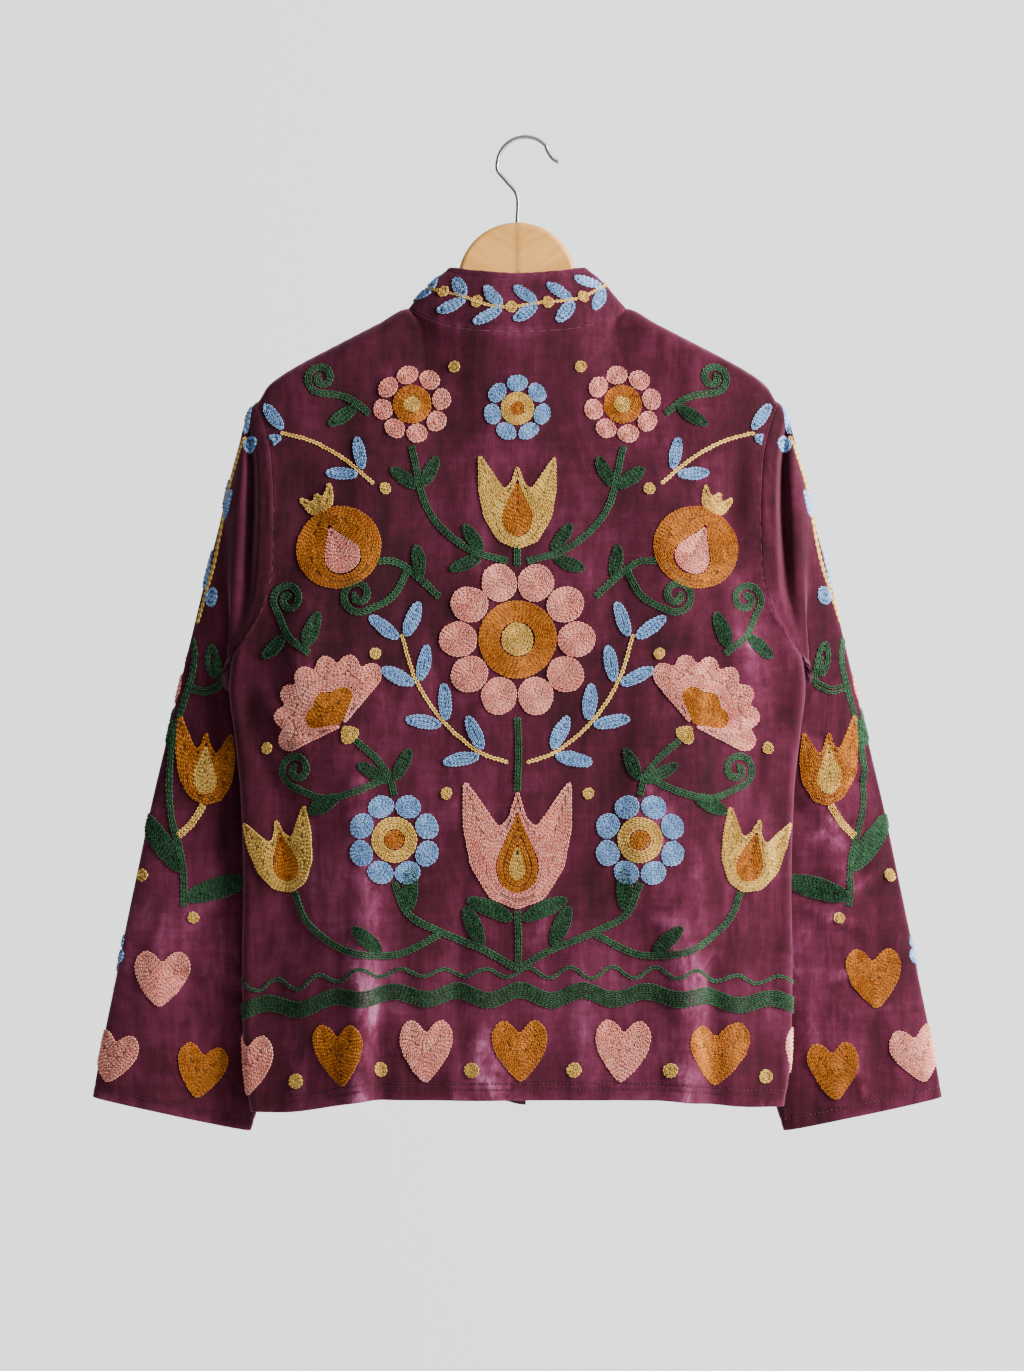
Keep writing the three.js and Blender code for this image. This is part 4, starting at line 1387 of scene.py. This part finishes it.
def sew_high_side(area, side):
    """One half of the garden from the waist up to the shoulder."""
    line, spot = sided(side)
    sew_stem(area, line((66, -392), (88, -372), (104, -362), (118, -362)))
    sew_leaf(area, spot(82, -378), side * -6, 32, 12)
    sew_curl(area, line((92, -368), (106, -392), (128, -404)), 15, side)
    sew_pomegranate(area, spot(152, -350), side * -24, 37, "ochre", "pink", "gold")
    sew_curl(area, line((176, -440), (196, -424), (208, -400)), 14, side)
    sew_leaf(area, spot(180, -436), side * 20, 34, 13)
    sew_leaf(area, spot(196, -424), side * -130, 32, 12)
    sprig = line((8, -362), (44, -350), (76, -318), (90, -264))
    sew_sprig(area, sprig, "green", "green", 34, 30, 12, end=0.74)
    sew_rosette(area, spot(90, -228), 8, 33, "pink", "ochre", "gold", 10)
    sew_sprig(area, line((122, -296), (146, -276), (174, -260), (202, -252)), "gold", "blue", 28, 30, 11)
    sew_curl(area, line((126, -236), (146, -222), (170, -218)), 13, side)
    sew_leaf(area, spot(136, -229), side * -124, 32, 12)
    sew_specks(area, spot, (120, -440), (54, -196), (112, -300))


def sew_front(area, side):
    """The unseen fronts: one upright vine each, plainer than the back."""
    line, spot = sided(side)
    stem = line((60, -704), (74, -640), (58, -560), (74, -480), (62, -400), (70, -334))
    sew_stem(area, stem)
    sew_leaves(area, stem, "green", 62, 40, 14, 0.08, 0.92, ((1,), (-1,)))
    sew_tulip(area, spot(72, -336), 0, 62, 76, "gold", "ochre")
    sew_rosette(area, spot(122, -610), 8, 38, "blue", "gold", "ochre")
    sew_stem(area, line((74, -648), (96, -652), (114, -645)))
    sew_rosette(area, spot(130, -440), 10, 50, "pink", "ochre", "gold", 12)
    sew_stem(area, line((68, -507), (92, -504), (108, -488)))
    sew_curl(area, line((66, -540), (96, -544), (124, -538)), 14, side)
    sew_curl(area, line((72, -468), (50, -455), (36, -436)), 12, side)
    sew_specks(area, spot, (34, -520), (32, -600), (150, -510), (112, -350))


COLLAR_PERIOD = 30.8
BERRY_RADIUS = 5.0
BERRY_TO_LEAVES = 22
COLLAR_LEAF = {"length": 25.5, "width": 10, "blunt": 0.95}
COLLAR_LEAF_ANGLE = 37


def sew_collar(area):
    """A gold vine with berries and pairs of blue leaves, all round the collar."""
    base = COLLAR_HEIGHT * 0.5
    s = np.arange(-236, 237, 2.0)
    vine = np.stack([s, base + 1.2 + 1.4 * np.sin(s / 11) - 5.0 * np.exp(-((s / 40) ** 2))], -1)
    sewing.chain(area, vine, "gold", {"width": 3.4, "link": 3.2, "relief": 1.3})
    for i in range(-8, 9):
        berry = -3.5 + i * COLLAR_PERIOD + dice.uniform(-1.5, 1.5)
        height = np.interp(berry, s, vine[:, 1])
        sew_dot(area, (berry, height), BERRY_RADIUS)
        joint = berry + BERRY_TO_LEAVES
        height = np.interp(joint, s, vine[:, 1])
        for way in (1, -1):
            turn = 90 - way * (COLLAR_LEAF_ANGLE + dice.uniform(-4, 4))
            sew_leaf(area, (joint, height + way * 0.6), turn, colour="blue", **COLLAR_LEAF)


CUFF_HEARTS = {
    "left": table(
        "colour x z turn width height",
        ("pink", -310.7, -715.7, 7, 49, 50),
        ("pink", -352.9, -784.6, -3, 45, 47),
        ("ochre", -276.7, -795.6, 0, 44, 47),
    ),
    "right": table(
        "colour x z turn width height",
        ("ochre", 296.5, -716.6, -7, 49, 53),
        ("ochre", 263.2, -794.8, -5, 44, 51),
        ("pink", 335.2, -781.2, 2, 48, 51),
    ),
}


def sew_sleeve(area, side_name):
    """Hearts round the cuff as on the hem, and a vine up the sleeve behind its outer fold."""
    sleeve = area["map"]
    side = SIDES[side_name]
    line, spot = sided(-side)
    hearts = CUFF_HEARTS[side_name]
    places = [np.array(sleeve.find(row["x"], row["z"])) for row in hearts]
    for row, place in zip(hearts, places):
        sew_heart(area, place, row["colour"], row["turn"], row["width"], row["height"])
    outer = places[1 if side < 0 else 2]
    for colour, shift in (("ochre", 72), ("pink", 142)):
        sew_heart(area, outer + [side * shift, 0], colour)
    sew_heart(area, places[0] + [side * 128, 0], "ochre" if side < 0 else "pink")
    top = sleeve.vs[-1]
    sew_rosette(area, spot(-12, 130), 7, 20, "blue", "gold", "ochre")
    stem = line((52, 178), (42, 214), (22, 252), (10, 300), (14, 350), (6, top - 150))
    sew_stem(area, stem)
    sew_leaf(area, spot(50, 184), side * 62, 62, 19)
    sew_leaf(area, spot(44, 206), side * -52, 58, 18)
    sew_leaf(area, spot(12, 292), side * -44, 44, 15)
    sew_stem(area, line((34, 232), (44, 246), (50, 262)), "gold")
    sew_tulip(area, spot(52, 262), side * -14, 58, 66, "ochre", "gold")
    sew_rosette(area, spot(-34, 330), 8, 38, "pink", "ochre", "gold")
    sew_curl(area, line((14, 336), (30, 342), (46, 356)), 13, -side)
    sprig = line((6, top - 140), (14, top - 100), (10, top - 60), (16, top - 22))
    sew_sprig(area, sprig, "gold", "blue", 27, 26, 11)
    sew_specks(area, spot, (-7, 98), (10, 196), (-30, 214), (62, 170), (-36, 270))


def sew_seam(area, u, v):
    sewing.chain(area, np.stack([u, v + 0 * u], -1), "plum", SEAM_ROW)


def sew_seams():
    """The machine stitches along the hem, the cuffs and the collar's top."""
    u = np.arange(-462, 469, 2.0)
    for height in HEM_STITCHES:
        sew_seam(body, u, HEM_Z + hem_line(u) + height)
    for side_name, area in sleeves.items():
        cuff = panels["sleeve_" + side_name].points[0]
        around = way_along(np.concatenate([cuff, cuff[:1]]))[-1]
        u = np.arange(-200, 201, 2.0)
        sew_seam(area, u[np.abs(u) <= around / 2], CUFF_STITCH)
    sew_seam(collar, np.arange(-236, 237, 2.0), COLLAR_HEIGHT - COLLAR_STITCH)


# Materials


class Nodes:
    """Short calls to build one material's node tree."""

    def __init__(self, name):
        self.material = bpy.data.materials.new(name)
        self.material.use_nodes = True
        self.tree = self.material.node_tree
        self.shader = self.tree.nodes["Principled BSDF"]
        self.place = self.add("ShaderNodeTexCoord").outputs["Object"]

    def add(self, kind, links=None, **settings):
        node = self.tree.nodes.new(kind)
        for name, value in settings.items():
            setattr(node, name, value)
        for name, value in (links or {}).items():
            self.put(node.inputs[name], value)
        return node

    def put(self, socket, value):
        if isinstance(value, bpy.types.NodeSocket):
            self.tree.links.new(value, socket)
        else:
            socket.default_value = value

    def set(self, sockets):
        for name, value in sockets.items():
            self.put(self.shader.inputs[name], value)

    def stretched(self, scale, turn=(0, 0, 0)):
        made = self.add("ShaderNodeMapping", {"Vector": self.place, "Scale": scale, "Rotation": turn})
        return made.outputs["Vector"]

    def noise(self, vector, scale, detail=3.0, roughness=0.55, distortion=0.0):
        links = {"Vector": vector, "Scale": scale, "Detail": detail}
        links |= {"Roughness": roughness, "Distortion": distortion}
        return self.add("ShaderNodeTexNoise", links).outputs["Fac"]

    def ramp(self, value, *stops):
        node = self.add("ShaderNodeValToRGB", {"Fac": value})
        marks = node.color_ramp.elements
        while len(marks) < len(stops):
            marks.new(0.5)
        for mark, (position, colour) in zip(marks, stops):
            mark.position = position
            mark.color = (*colour, 1)
        return node.outputs["Color"]

    def grey_ramp(self, value, *stops):
        return self.ramp(value, *[(position, (level, level, level)) for position, level in stops])

    def shaded(self, amount, colour, value, *stops):
        """A colour times a grey that follows a value."""
        return self.mix("MULTIPLY", amount, colour, self.grey_ramp(value, *stops))

    def share(self):
        """The number that a mesh holds at each point."""
        return self.add("ShaderNodeAttribute", attribute_name="share").outputs["Fac"]

    def weighed(self, *parts):
        """A sum of values, each with its weight and, where it has one, the level it is counted from."""
        total = None
        for value, weight, *level in parts:
            part = self.maths("MULTIPLY", self.maths("SUBTRACT", value, level[0]) if level else value, weight)
            total = part if total is None else self.maths("ADD", total, part)
        return total

    def mix(self, kind, amount, first, second):
        node = self.add("ShaderNodeMix", data_type="RGBA", blend_type=kind)
        self.put(node.inputs[0], amount)
        self.put(node.inputs[6], first)
        self.put(node.inputs[7], second)
        return node.outputs[2]

    def maths(self, kind, first, second=0.0):
        node = self.add("ShaderNodeMath", operation=kind)
        self.put(node.inputs[0], first)
        self.put(node.inputs[1], second)
        return node.outputs[0]

    def bump(self, height, strength, distance, normal=None):
        links = {"Height": height, "Strength": strength, "Distance": distance}
        if normal is not None:
            links["Normal"] = normal
        return self.add("ShaderNodeBump", links).outputs["Normal"]


def velvet_material():
    """Plum pile in streaks, with painted highlight on ridges and worn edges, and painted sheen at grazing
    angles.
    """
    n = Nodes("plum_velvet")
    streaks = n.noise(n.stretched((1, 1, 0.42), (0, 0.12, 0)), 28, 5, 0.60, 0.9)
    clouds = n.noise(n.stretched((1, 1, 0.7), (0.2, 0.1, 0.5)), 8, 3, 0.5, 0.5)
    hairs = n.noise(n.stretched((1, 1, 0.10)), 210, 3, 0.6)
    crossing = n.noise(n.stretched((0.12, 1, 1)), 170, 3, 0.6)
    scuffs = n.noise(n.stretched((1, 1, 0.6), (0.3, 0, 0.2)), 75, 4, 0.65, 0.5)
    pile = n.noise(n.place, 900, 2, 0.6)
    # Painted highlight on ridges and along the edges, where the pile is also worn, as each mesh gives it.
    pile_wear_and_highlight = n.maths("MULTIPLY", n.share(), n.grey_ramp(scuffs, (0.38, 0.35), (0.62, 1.0)))
    # Lighter towards the hem: partly painted light falling there, partly the nap.
    height = n.add("ShaderNodeSeparateXYZ", {"Vector": n.place}).outputs["Z"]
    low = n.grey_ramp(n.maths("MULTIPLY", height, -1.0), (0.36, 0.0), (0.74, 1.0))
    nap = n.weighed(
        (streaks, 0.40),
        (clouds, 0.42),
        (scuffs, 0.18),
        (hairs, 0.16, 0.5),
        (crossing, 0.13, 0.5),
        (pile_wear_and_highlight, 0.27),
        (low, 0.036, 0.4),
    )
    colour = n.ramp(
        nap,
        (0.38, (0.020, 0.0016, 0.0050)),
        (0.50, (0.047, 0.0040, 0.0138)),
        (0.60, (0.083, 0.0102, 0.0300)),
        (0.72, (0.150, 0.0290, 0.0700)),
        (0.88, (0.310, 0.1100, 0.1950)),
    )
    colour = n.shaded(0.8, colour, pile, (0.3, 0.78), (0.7, 1.2))
    # A painted pink sheen at grazing angles.
    facing = n.add("ShaderNodeLayerWeight", {"Blend": 0.30}).outputs["Facing"]
    edge = n.maths("MULTIPLY", n.maths("POWER", facing, 1.8), 0.6)
    colour = n.mix("MIX", edge, colour, (0.300, 0.085, 0.150, 1))
    relief = n.bump(nap, 0.25, 0.004)
    n.set({"Base Color": colour, "Roughness": 0.88, "Normal": n.bump(pile, 0.3, 0.0006, relief)})
    n.set({"Specular IOR Level": 0.15, "Sheen Weight": 0.22, "Sheen Roughness": 0.4})
    n.set({"Sheen Tint": (0.95, 0.50, 0.68, 1)})
    return n.material


def reverse_material():
    """The woven cotton back of the velvet, seen inside."""
    n = Nodes("velvet_reverse")
    yarn = {"Scale": 320.0, "Distortion": 1.2, "Detail": 1.0}
    warp = n.add("ShaderNodeTexWave", yarn | {"Vector": n.place})
    weft = n.add("ShaderNodeTexWave", yarn | {"Vector": n.stretched((1, 1, 1), (0, math.pi / 2, 0))})
    weave = n.maths("MULTIPLY", warp.outputs["Fac"], weft.outputs["Fac"])
    shade = n.noise(n.place, 30, 4)
    colour = n.ramp(shade, (0.35, (0.070, 0.020, 0.038)), (0.65, (0.125, 0.042, 0.070)))
    colour = n.shaded(0.5, colour, weave, (0.0, 0.6), (0.6, 1.1))
    n.set({"Base Color": colour, "Roughness": 0.92, "Specular IOR Level": 0.15})
    n.set({"Normal": n.bump(weave, 0.4, 0.0004)})
    return n.material


THREADS = table(
    "colour dark light",
    ("green", (0.011, 0.047, 0.018), (0.031, 0.104, 0.045)),
    ("blue", (0.170, 0.345, 0.680), (0.340, 0.550, 0.890)),
    ("pink", (0.940, 0.275, 0.220), (1.000, 0.460, 0.370)),
    ("ochre", (0.430, 0.115, 0.006), (0.660, 0.225, 0.020)),
    ("gold", (0.700, 0.390, 0.070), (0.940, 0.610, 0.150)),
    ("plum", (0.070, 0.012, 0.028), (0.140, 0.028, 0.062)),
)


def thread_material(row):
    """Soft wool-like thread: each stitch a little lighter or darker, with painted shade in the gaps, painted
    highlight on top and a fine twist.
    """
    n = Nodes("thread_" + row["colour"])
    stitch = n.noise(n.place, 260, 2, 0.5)
    patch = n.noise(n.place, 22, 2, 0.5)
    beads = n.noise(n.place, 760, 1, 0.5)
    twist = n.noise(n.place, 2600, 2, 0.6)
    colour = n.ramp(n.weighed((stitch, 0.7), (patch, 0.3)), (0.36, row["dark"]), (0.62, row["light"]))
    # Painted shade low on each strand and on the sheet under a fill, painted highlight on each strand's top.
    colour = n.shaded(1.0, colour, n.share(), (0.0, 0.12), (0.32, 0.60), (0.75, 1.45))
    colour = n.shaded(0.6, colour, beads, (0.36, 0.70), (0.58, 1.12))
    colour = n.shaded(0.6, colour, twist, (0.3, 0.80), (0.65, 1.12))
    rough = n.bump(beads, 0.7, 0.0012)
    n.set({"Base Color": colour, "Roughness": 0.80, "Normal": n.bump(twist, 0.5, 0.0004, rough)})
    n.set({"Specular IOR Level": 0.2, "Sheen Weight": 0.12, "Sheen Roughness": 0.5})
    return n.material


def wood_material():
    """Pale lacquered wood in two halves, whose grain meets in a V at the middle joint."""
    n = Nodes("pale_wood")
    split = n.add("ShaderNodeSeparateXYZ", {"Vector": n.place})
    away = n.maths("ABSOLUTE", n.maths("ADD", split.outputs["X"], -0.001 * CENTRE_X))
    joined = n.add("ShaderNodeCombineXYZ", {"X": away, "Y": split.outputs["Y"], "Z": split.outputs["Z"]})
    place = {"Vector": joined.outputs[0], "Rotation": (0, -0.5, 0), "Scale": (6.2, 1, 1)}
    turn = n.add("ShaderNodeMapping", place, vector_type="TEXTURE")
    grain = n.noise(turn.outputs[0], 160, 6, 0.62, 0.5)
    bands = n.noise(turn.outputs[0], 34, 3, 0.5, 0.8)
    colour = n.ramp(bands, (0.3, (0.66, 0.305, 0.058)), (0.7, (0.80, 0.392, 0.082)))
    colour = n.shaded(0.5, colour, grain, (0.38, 0.76), (0.62, 1.06))
    colour = n.shaded(0.8, colour, away, (0.0, 0.62), (0.0005, 1.0))
    n.set({"Base Color": colour, "Roughness": 0.42, "Normal": n.bump(grain, 0.08, 0.0006)})
    n.set({"Coat Weight": 0.25, "Coat Roughness": 0.3})
    return n.material


def wire_material():
    n = Nodes("bright_wire")
    drawn = n.noise(n.stretched((1, 1, 0.15)), 400, 3)
    colour = n.ramp(drawn, (0.3, (0.38, 0.37, 0.35)), (0.7, (0.46, 0.45, 0.43)))
    rough = n.maths("ADD", n.maths("MULTIPLY", drawn, 0.10), 0.30)
    n.set({"Base Color": colour, "Metallic": 1.0, "Roughness": rough, "Normal": n.bump(drawn, 0.05, 0.0001)})
    return n.material


# The hanger

WOOD = {
    "thick": 12.0,
    "round": 4.0,
    "neck_top": -71.4,
    "neck_radius": 51.0,
    "neck_foot_x": 56.0,
    "neck_foot_z": -130.0,
    "arm_end": 205.0,
    "arm_end_height": 20.0,
    "notch": -115.5,
    "belly_x": 93.0,
    "belly_z": -171.0,
    "slack": 0.9,
}
WIRE = 3.5
WIRE_END = 0.55  # the share of the wire's thickness that is left at its blunted ends
HOOK = {"loop_radius": 24.0, "stem_foot": -96.0, "bend_z": -49.0, "throat_x": -22.5, "throat_z": -28.0}
HOOK_TIP = table("x z", (18.6, -9.4), (23.6, -17.0), (29.0, -20.2))


def arm_top(x):
    return float(shoulder_z(x)) - WALL / math.cos(math.atan(0.51)) - WOOD["slack"]


def wood_outline():
    right = []
    for i in range(25):
        angle = i / 24 * 1.62
        drop = WOOD["neck_radius"] * (1 - math.cos(angle))
        right.append((WOOD["neck_radius"] * math.sin(angle), WOOD["neck_top"] - drop))
    foot_x, foot_z = WOOD["neck_foot_x"], WOOD["neck_foot_z"]
    right += [(foot_x - 2.5, foot_z + 2.2), (foot_x + 4, foot_z - 2.4)]
    right += [(78, arm_top(NECK_HALF) + 4.5), (87, arm_top(NECK_HALF) - 1.6), (98, arm_top(98) - 1)]
    right += [(x, arm_top(x)) for x in (118, 150, 182, 196)]
    end, height = WOOD["arm_end"], WOOD["arm_end_height"]
    end_top = arm_top(end) - 1.5
    right += [(end, end_top), (end + 2, end_top - 7)]
    right += [(end, end_top - height + 3), (end - 6, end_top - height)]
    right += [(WOOD["belly_x"], WOOD["belly_z"]), (0, WOOD["notch"])]
    left = [(-x, z) for x, z in right[1:-1]][::-1]
    return np.array(right + left, float)


def resampled(points, step, closed):
    """Points one step apart along a line."""
    line = np.concatenate([points, points[:1]]) if closed else points
    way = way_along(line)
    count = max(int(round(way[-1] / step)), 2)
    made = read_along(np.linspace(0, way[-1], count + 1), way, line)
    return made[:-1] if closed else made


def eased(points, rounds):
    """A closed line with its corners softened."""
    for _ in range(rounds):
        points = (np.roll(points, 1, 0) + 2 * points + np.roll(points, -1, 0)) / 4
    return points


def ringed_body(name, rings, material):
    """A closed body through rings of points, with a flat cap at each end."""
    number = np.arange(len(rings) * len(rings[0])).reshape(len(rings), -1)
    low, high = number[:-1], number[1:]
    sides = np.stack([low, np.roll(low, -1, 1), np.roll(high, -1, 1), high], -1).reshape(-1, 4)
    caps = [list(number[0][::-1]), list(number[-1])]
    mesh = bpy.data.meshes.new(name)
    mesh.from_pydata((np.concatenate(rings) * 0.001).tolist(), [], sides.tolist() + caps)
    for polygon in mesh.polygons:
        polygon.use_smooth = len(polygon.vertices) == 4
    mesh.materials.append(material)
    mesh.update()
    made = placed(name, mesh)
    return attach(made, "root")


def make_board(material):
    outline = eased(resampled(wood_outline(), 2.4, True), 3)
    along = unit(np.roll(outline, -1, 0) - np.roll(outline, 1, 0))
    inward = np.stack([along[:, 1], -along[:, 0]], -1)
    angles = np.linspace(0, np.pi / 2, 6)
    rings = []
    for side, turn in [(-1, angle) for angle in angles] + [(1, angle) for angle in angles[::-1]]:
        inset = WOOD["round"] * (1 - math.sin(turn))
        place = outline + inward * inset
        depth = side * (WOOD["thick"] / 2 - WOOD["round"] + WOOD["round"] * math.cos(turn))
        rings.append(np.stack([CENTRE_X + place[:, 0], np.full(len(place), depth), place[:, 1]], -1))
    return ringed_body("hanger_wood", rings, material)


def catmull_rom(points, steps):
    """A smooth line through the points."""
    ends = np.concatenate([[2 * points[0] - points[1]], points, [2 * points[-1] - points[-2]]])
    made = []
    for i in range(len(points) - 1):
        p0, p1, p2, p3 = ends[i : i + 4]
        for t in np.linspace(0, 1, steps, endpoint=False):
            part = 2 * p1 + (p2 - p0) * t + (2 * p0 - 5 * p1 + 4 * p2 - p3) * t**2
            made.append((part + (3 * p1 - p0 - 3 * p2 + p3) * t**3) / 2)
    made.append(points[-1])
    return np.array(made)


def hook_path():
    throat_x, throat_z, bend = HOOK["throat_x"], HOOK["throat_z"], HOOK["bend_z"]
    radius = HOOK["loop_radius"]
    path = [(CENTRE_X, HOOK["stem_foot"]), (CENTRE_X, HOOK["stem_foot"] + 24), (CENTRE_X, bend)]
    path.append((lerp(CENTRE_X, throat_x, 0.55), lerp(bend, throat_z, 0.5) + 1.5))
    for degrees in range(192, 44, -21):
        angle = math.radians(degrees)
        path.append((radius * math.cos(angle), WIRE / 2 - radius + radius * math.sin(angle)))
    path += [(p["x"], p["z"]) for p in HOOK_TIP]
    return np.array([(x, 0, z) for x, z in path], float)


def make_hook(material, sides=16):
    line = catmull_rom(hook_path(), 8)
    along = unit(np.gradient(line, axis=0))
    across = np.tile([0.0, 1.0, 0.0], (len(line), 1))
    third = np.cross(along, across)
    radius = np.full(len(line), WIRE / 2)
    radius[[0, -1]] *= WIRE_END
    angles = np.arange(sides) / sides * 2 * np.pi
    rings = [line + (across * math.cos(a) + third * math.sin(a)) * radius[:, None] for a in angles]
    return ringed_body("hanger_wire", np.stack(rings, 1), material)


# Stage, in metres

SENSOR = 36  # the film's longer side, in millimetres
CAMERA_DISTANCE = 3.5
CAMERA_X = -0.0115
CAMERA_Z = -0.467
CLOTH_DEPTH = 0.018  # how far in front of the hook's plane the scale was taken
PHOTO_ROWS = 1371
ROW_SIZE = 0.85 / 1000
LIGHT_TARGET = (0, 0, -0.5)
STUDIO_BRIGHTER = (0.80, 0.92, 0.10)  # the way in which the studio is brighter
STUDIO_LEVEL = 1.12


def make_stage():
    bpy.ops.mesh.primitive_plane_add(size=2.4, location=(0, 0, -1.3))
    floor = bpy.context.object
    floor.name = "floor"
    n = Nodes("pale_floor")
    n.set({"Base Color": (0.72, 0.72, 0.70, 1), "Roughness": 0.8})
    floor.data.materials.append(n.material)


def add_area(name, place, size, power, colour):
    light = bpy.data.lights.new(name, "AREA")
    light.shape = "RECTANGLE"
    light.size, light.size_y = size
    light.energy = power
    light.color = colour
    made = placed(name, light)
    made.location = place
    made.rotation_euler = (Vector(LIGHT_TARGET) - Vector(place)).to_track_quat("-Z", "Y").to_euler()


def make_light():
    """A pale studio, brighter behind the jacket and to its right, with a soft key light from the right."""
    world = bpy.data.worlds.new("studio")
    bpy.context.scene.world = world
    world.use_nodes = True
    nodes, links = world.node_tree.nodes, world.node_tree.links
    way = nodes.new("ShaderNodeTexCoord")
    bright = nodes.new("ShaderNodeVectorMath")
    bright.operation = "DOT_PRODUCT"
    bright.inputs[1].default_value = STUDIO_BRIGHTER
    level = nodes.new("ShaderNodeMath")
    level.inputs[1].default_value = STUDIO_LEVEL
    links.new(way.outputs["Generated"], bright.inputs[0])
    links.new(bright.outputs["Value"], level.inputs[0])
    links.new(level.outputs[0], nodes["Background"].inputs["Strength"])
    nodes["Background"].inputs["Color"].default_value = (0.985, 0.99, 1.0, 1)
    add_area("key", (1.6, -1.05, 0.3), (0.8, 1.2), 128, (1.0, 0.98, 0.95))
    add_area("fill", (-1.4, -2.6, -0.2), (1.6, 1.6), 3, (0.94, 0.97, 1.0))


def make_camera():
    data = bpy.data.cameras.new("camera")
    data.sensor_width = SENSOR
    data.lens = SENSOR * (CAMERA_DISTANCE - CLOTH_DEPTH) / (PHOTO_ROWS * ROW_SIZE)
    data.clip_start = 0.1
    data.clip_end = 50
    camera = placed("camera", data)
    camera.location = (CAMERA_X, -CAMERA_DISTANCE, CAMERA_Z)
    camera.rotation_euler = (math.pi / 2, 0, 0)
    bpy.context.scene.camera = camera


# Assembly

panels = {
    "back_panel": make_back(),
    "front_left": make_front(FRONTS["left"]),
    "front_right": make_front(FRONTS["right"]),
    "sleeve_left": make_sleeve("left"),
    "sleeve_right": make_sleeve("right"),
    "collar": make_collar(),
}
sewing = Stitches()


def constant(name):
    return lambda uv: np.full(len(uv), name)


def body_names(uv):
    """The panel that each place on the body's map lies on."""
    seam = np.interp(uv[:, 1], seam_heights, seam_lengths)
    side = np.where(uv[:, 0] < 0, "front_left", "front_right")
    return np.where(np.abs(uv[:, 0]) <= seam, "back_panel", side)


seam_heights = panels["back_panel"].points[:, -1, 2]
seam_lengths = np.linalg.norm(np.diff(panels["back_panel"].points, axis=1), axis=-1).sum(1) / 2
body = {"map": body_map(), "names": body_names}
collar = {"map": collar_map(), "names": constant("collar")}
sleeves = {side: {"map": sleeve_map(side), "names": constant("sleeve_" + side)} for side in ("left", "right")}
sew_hem(body)
sew_back(body)
for side_name, area in sleeves.items():
    front = {"map": front_map(side_name), "names": constant("front_" + side_name)}
    sew_front(front, -SIDES[side_name])
    sew_sleeve(area, side_name)
sew_collar(collar)
sew_seams()

velvet = velvet_material()
reverse = reverse_material()
threads = sewing.meshes({row["colour"]: thread_material(row) for row in THREADS})
for node, panel in panels.items():
    vertices, faces, numbers, brushed = shell_mesh(panel)
    piece = new_mesh(node + "_velvet", vertices, faces, [velvet, reverse], numbers, brushed)
    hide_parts(node)

board = make_board(wood_material())
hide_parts("hanger_body")
hook = make_hook(wire_material())
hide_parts("hanger_hook")

make_stage()
make_light()
make_camera()
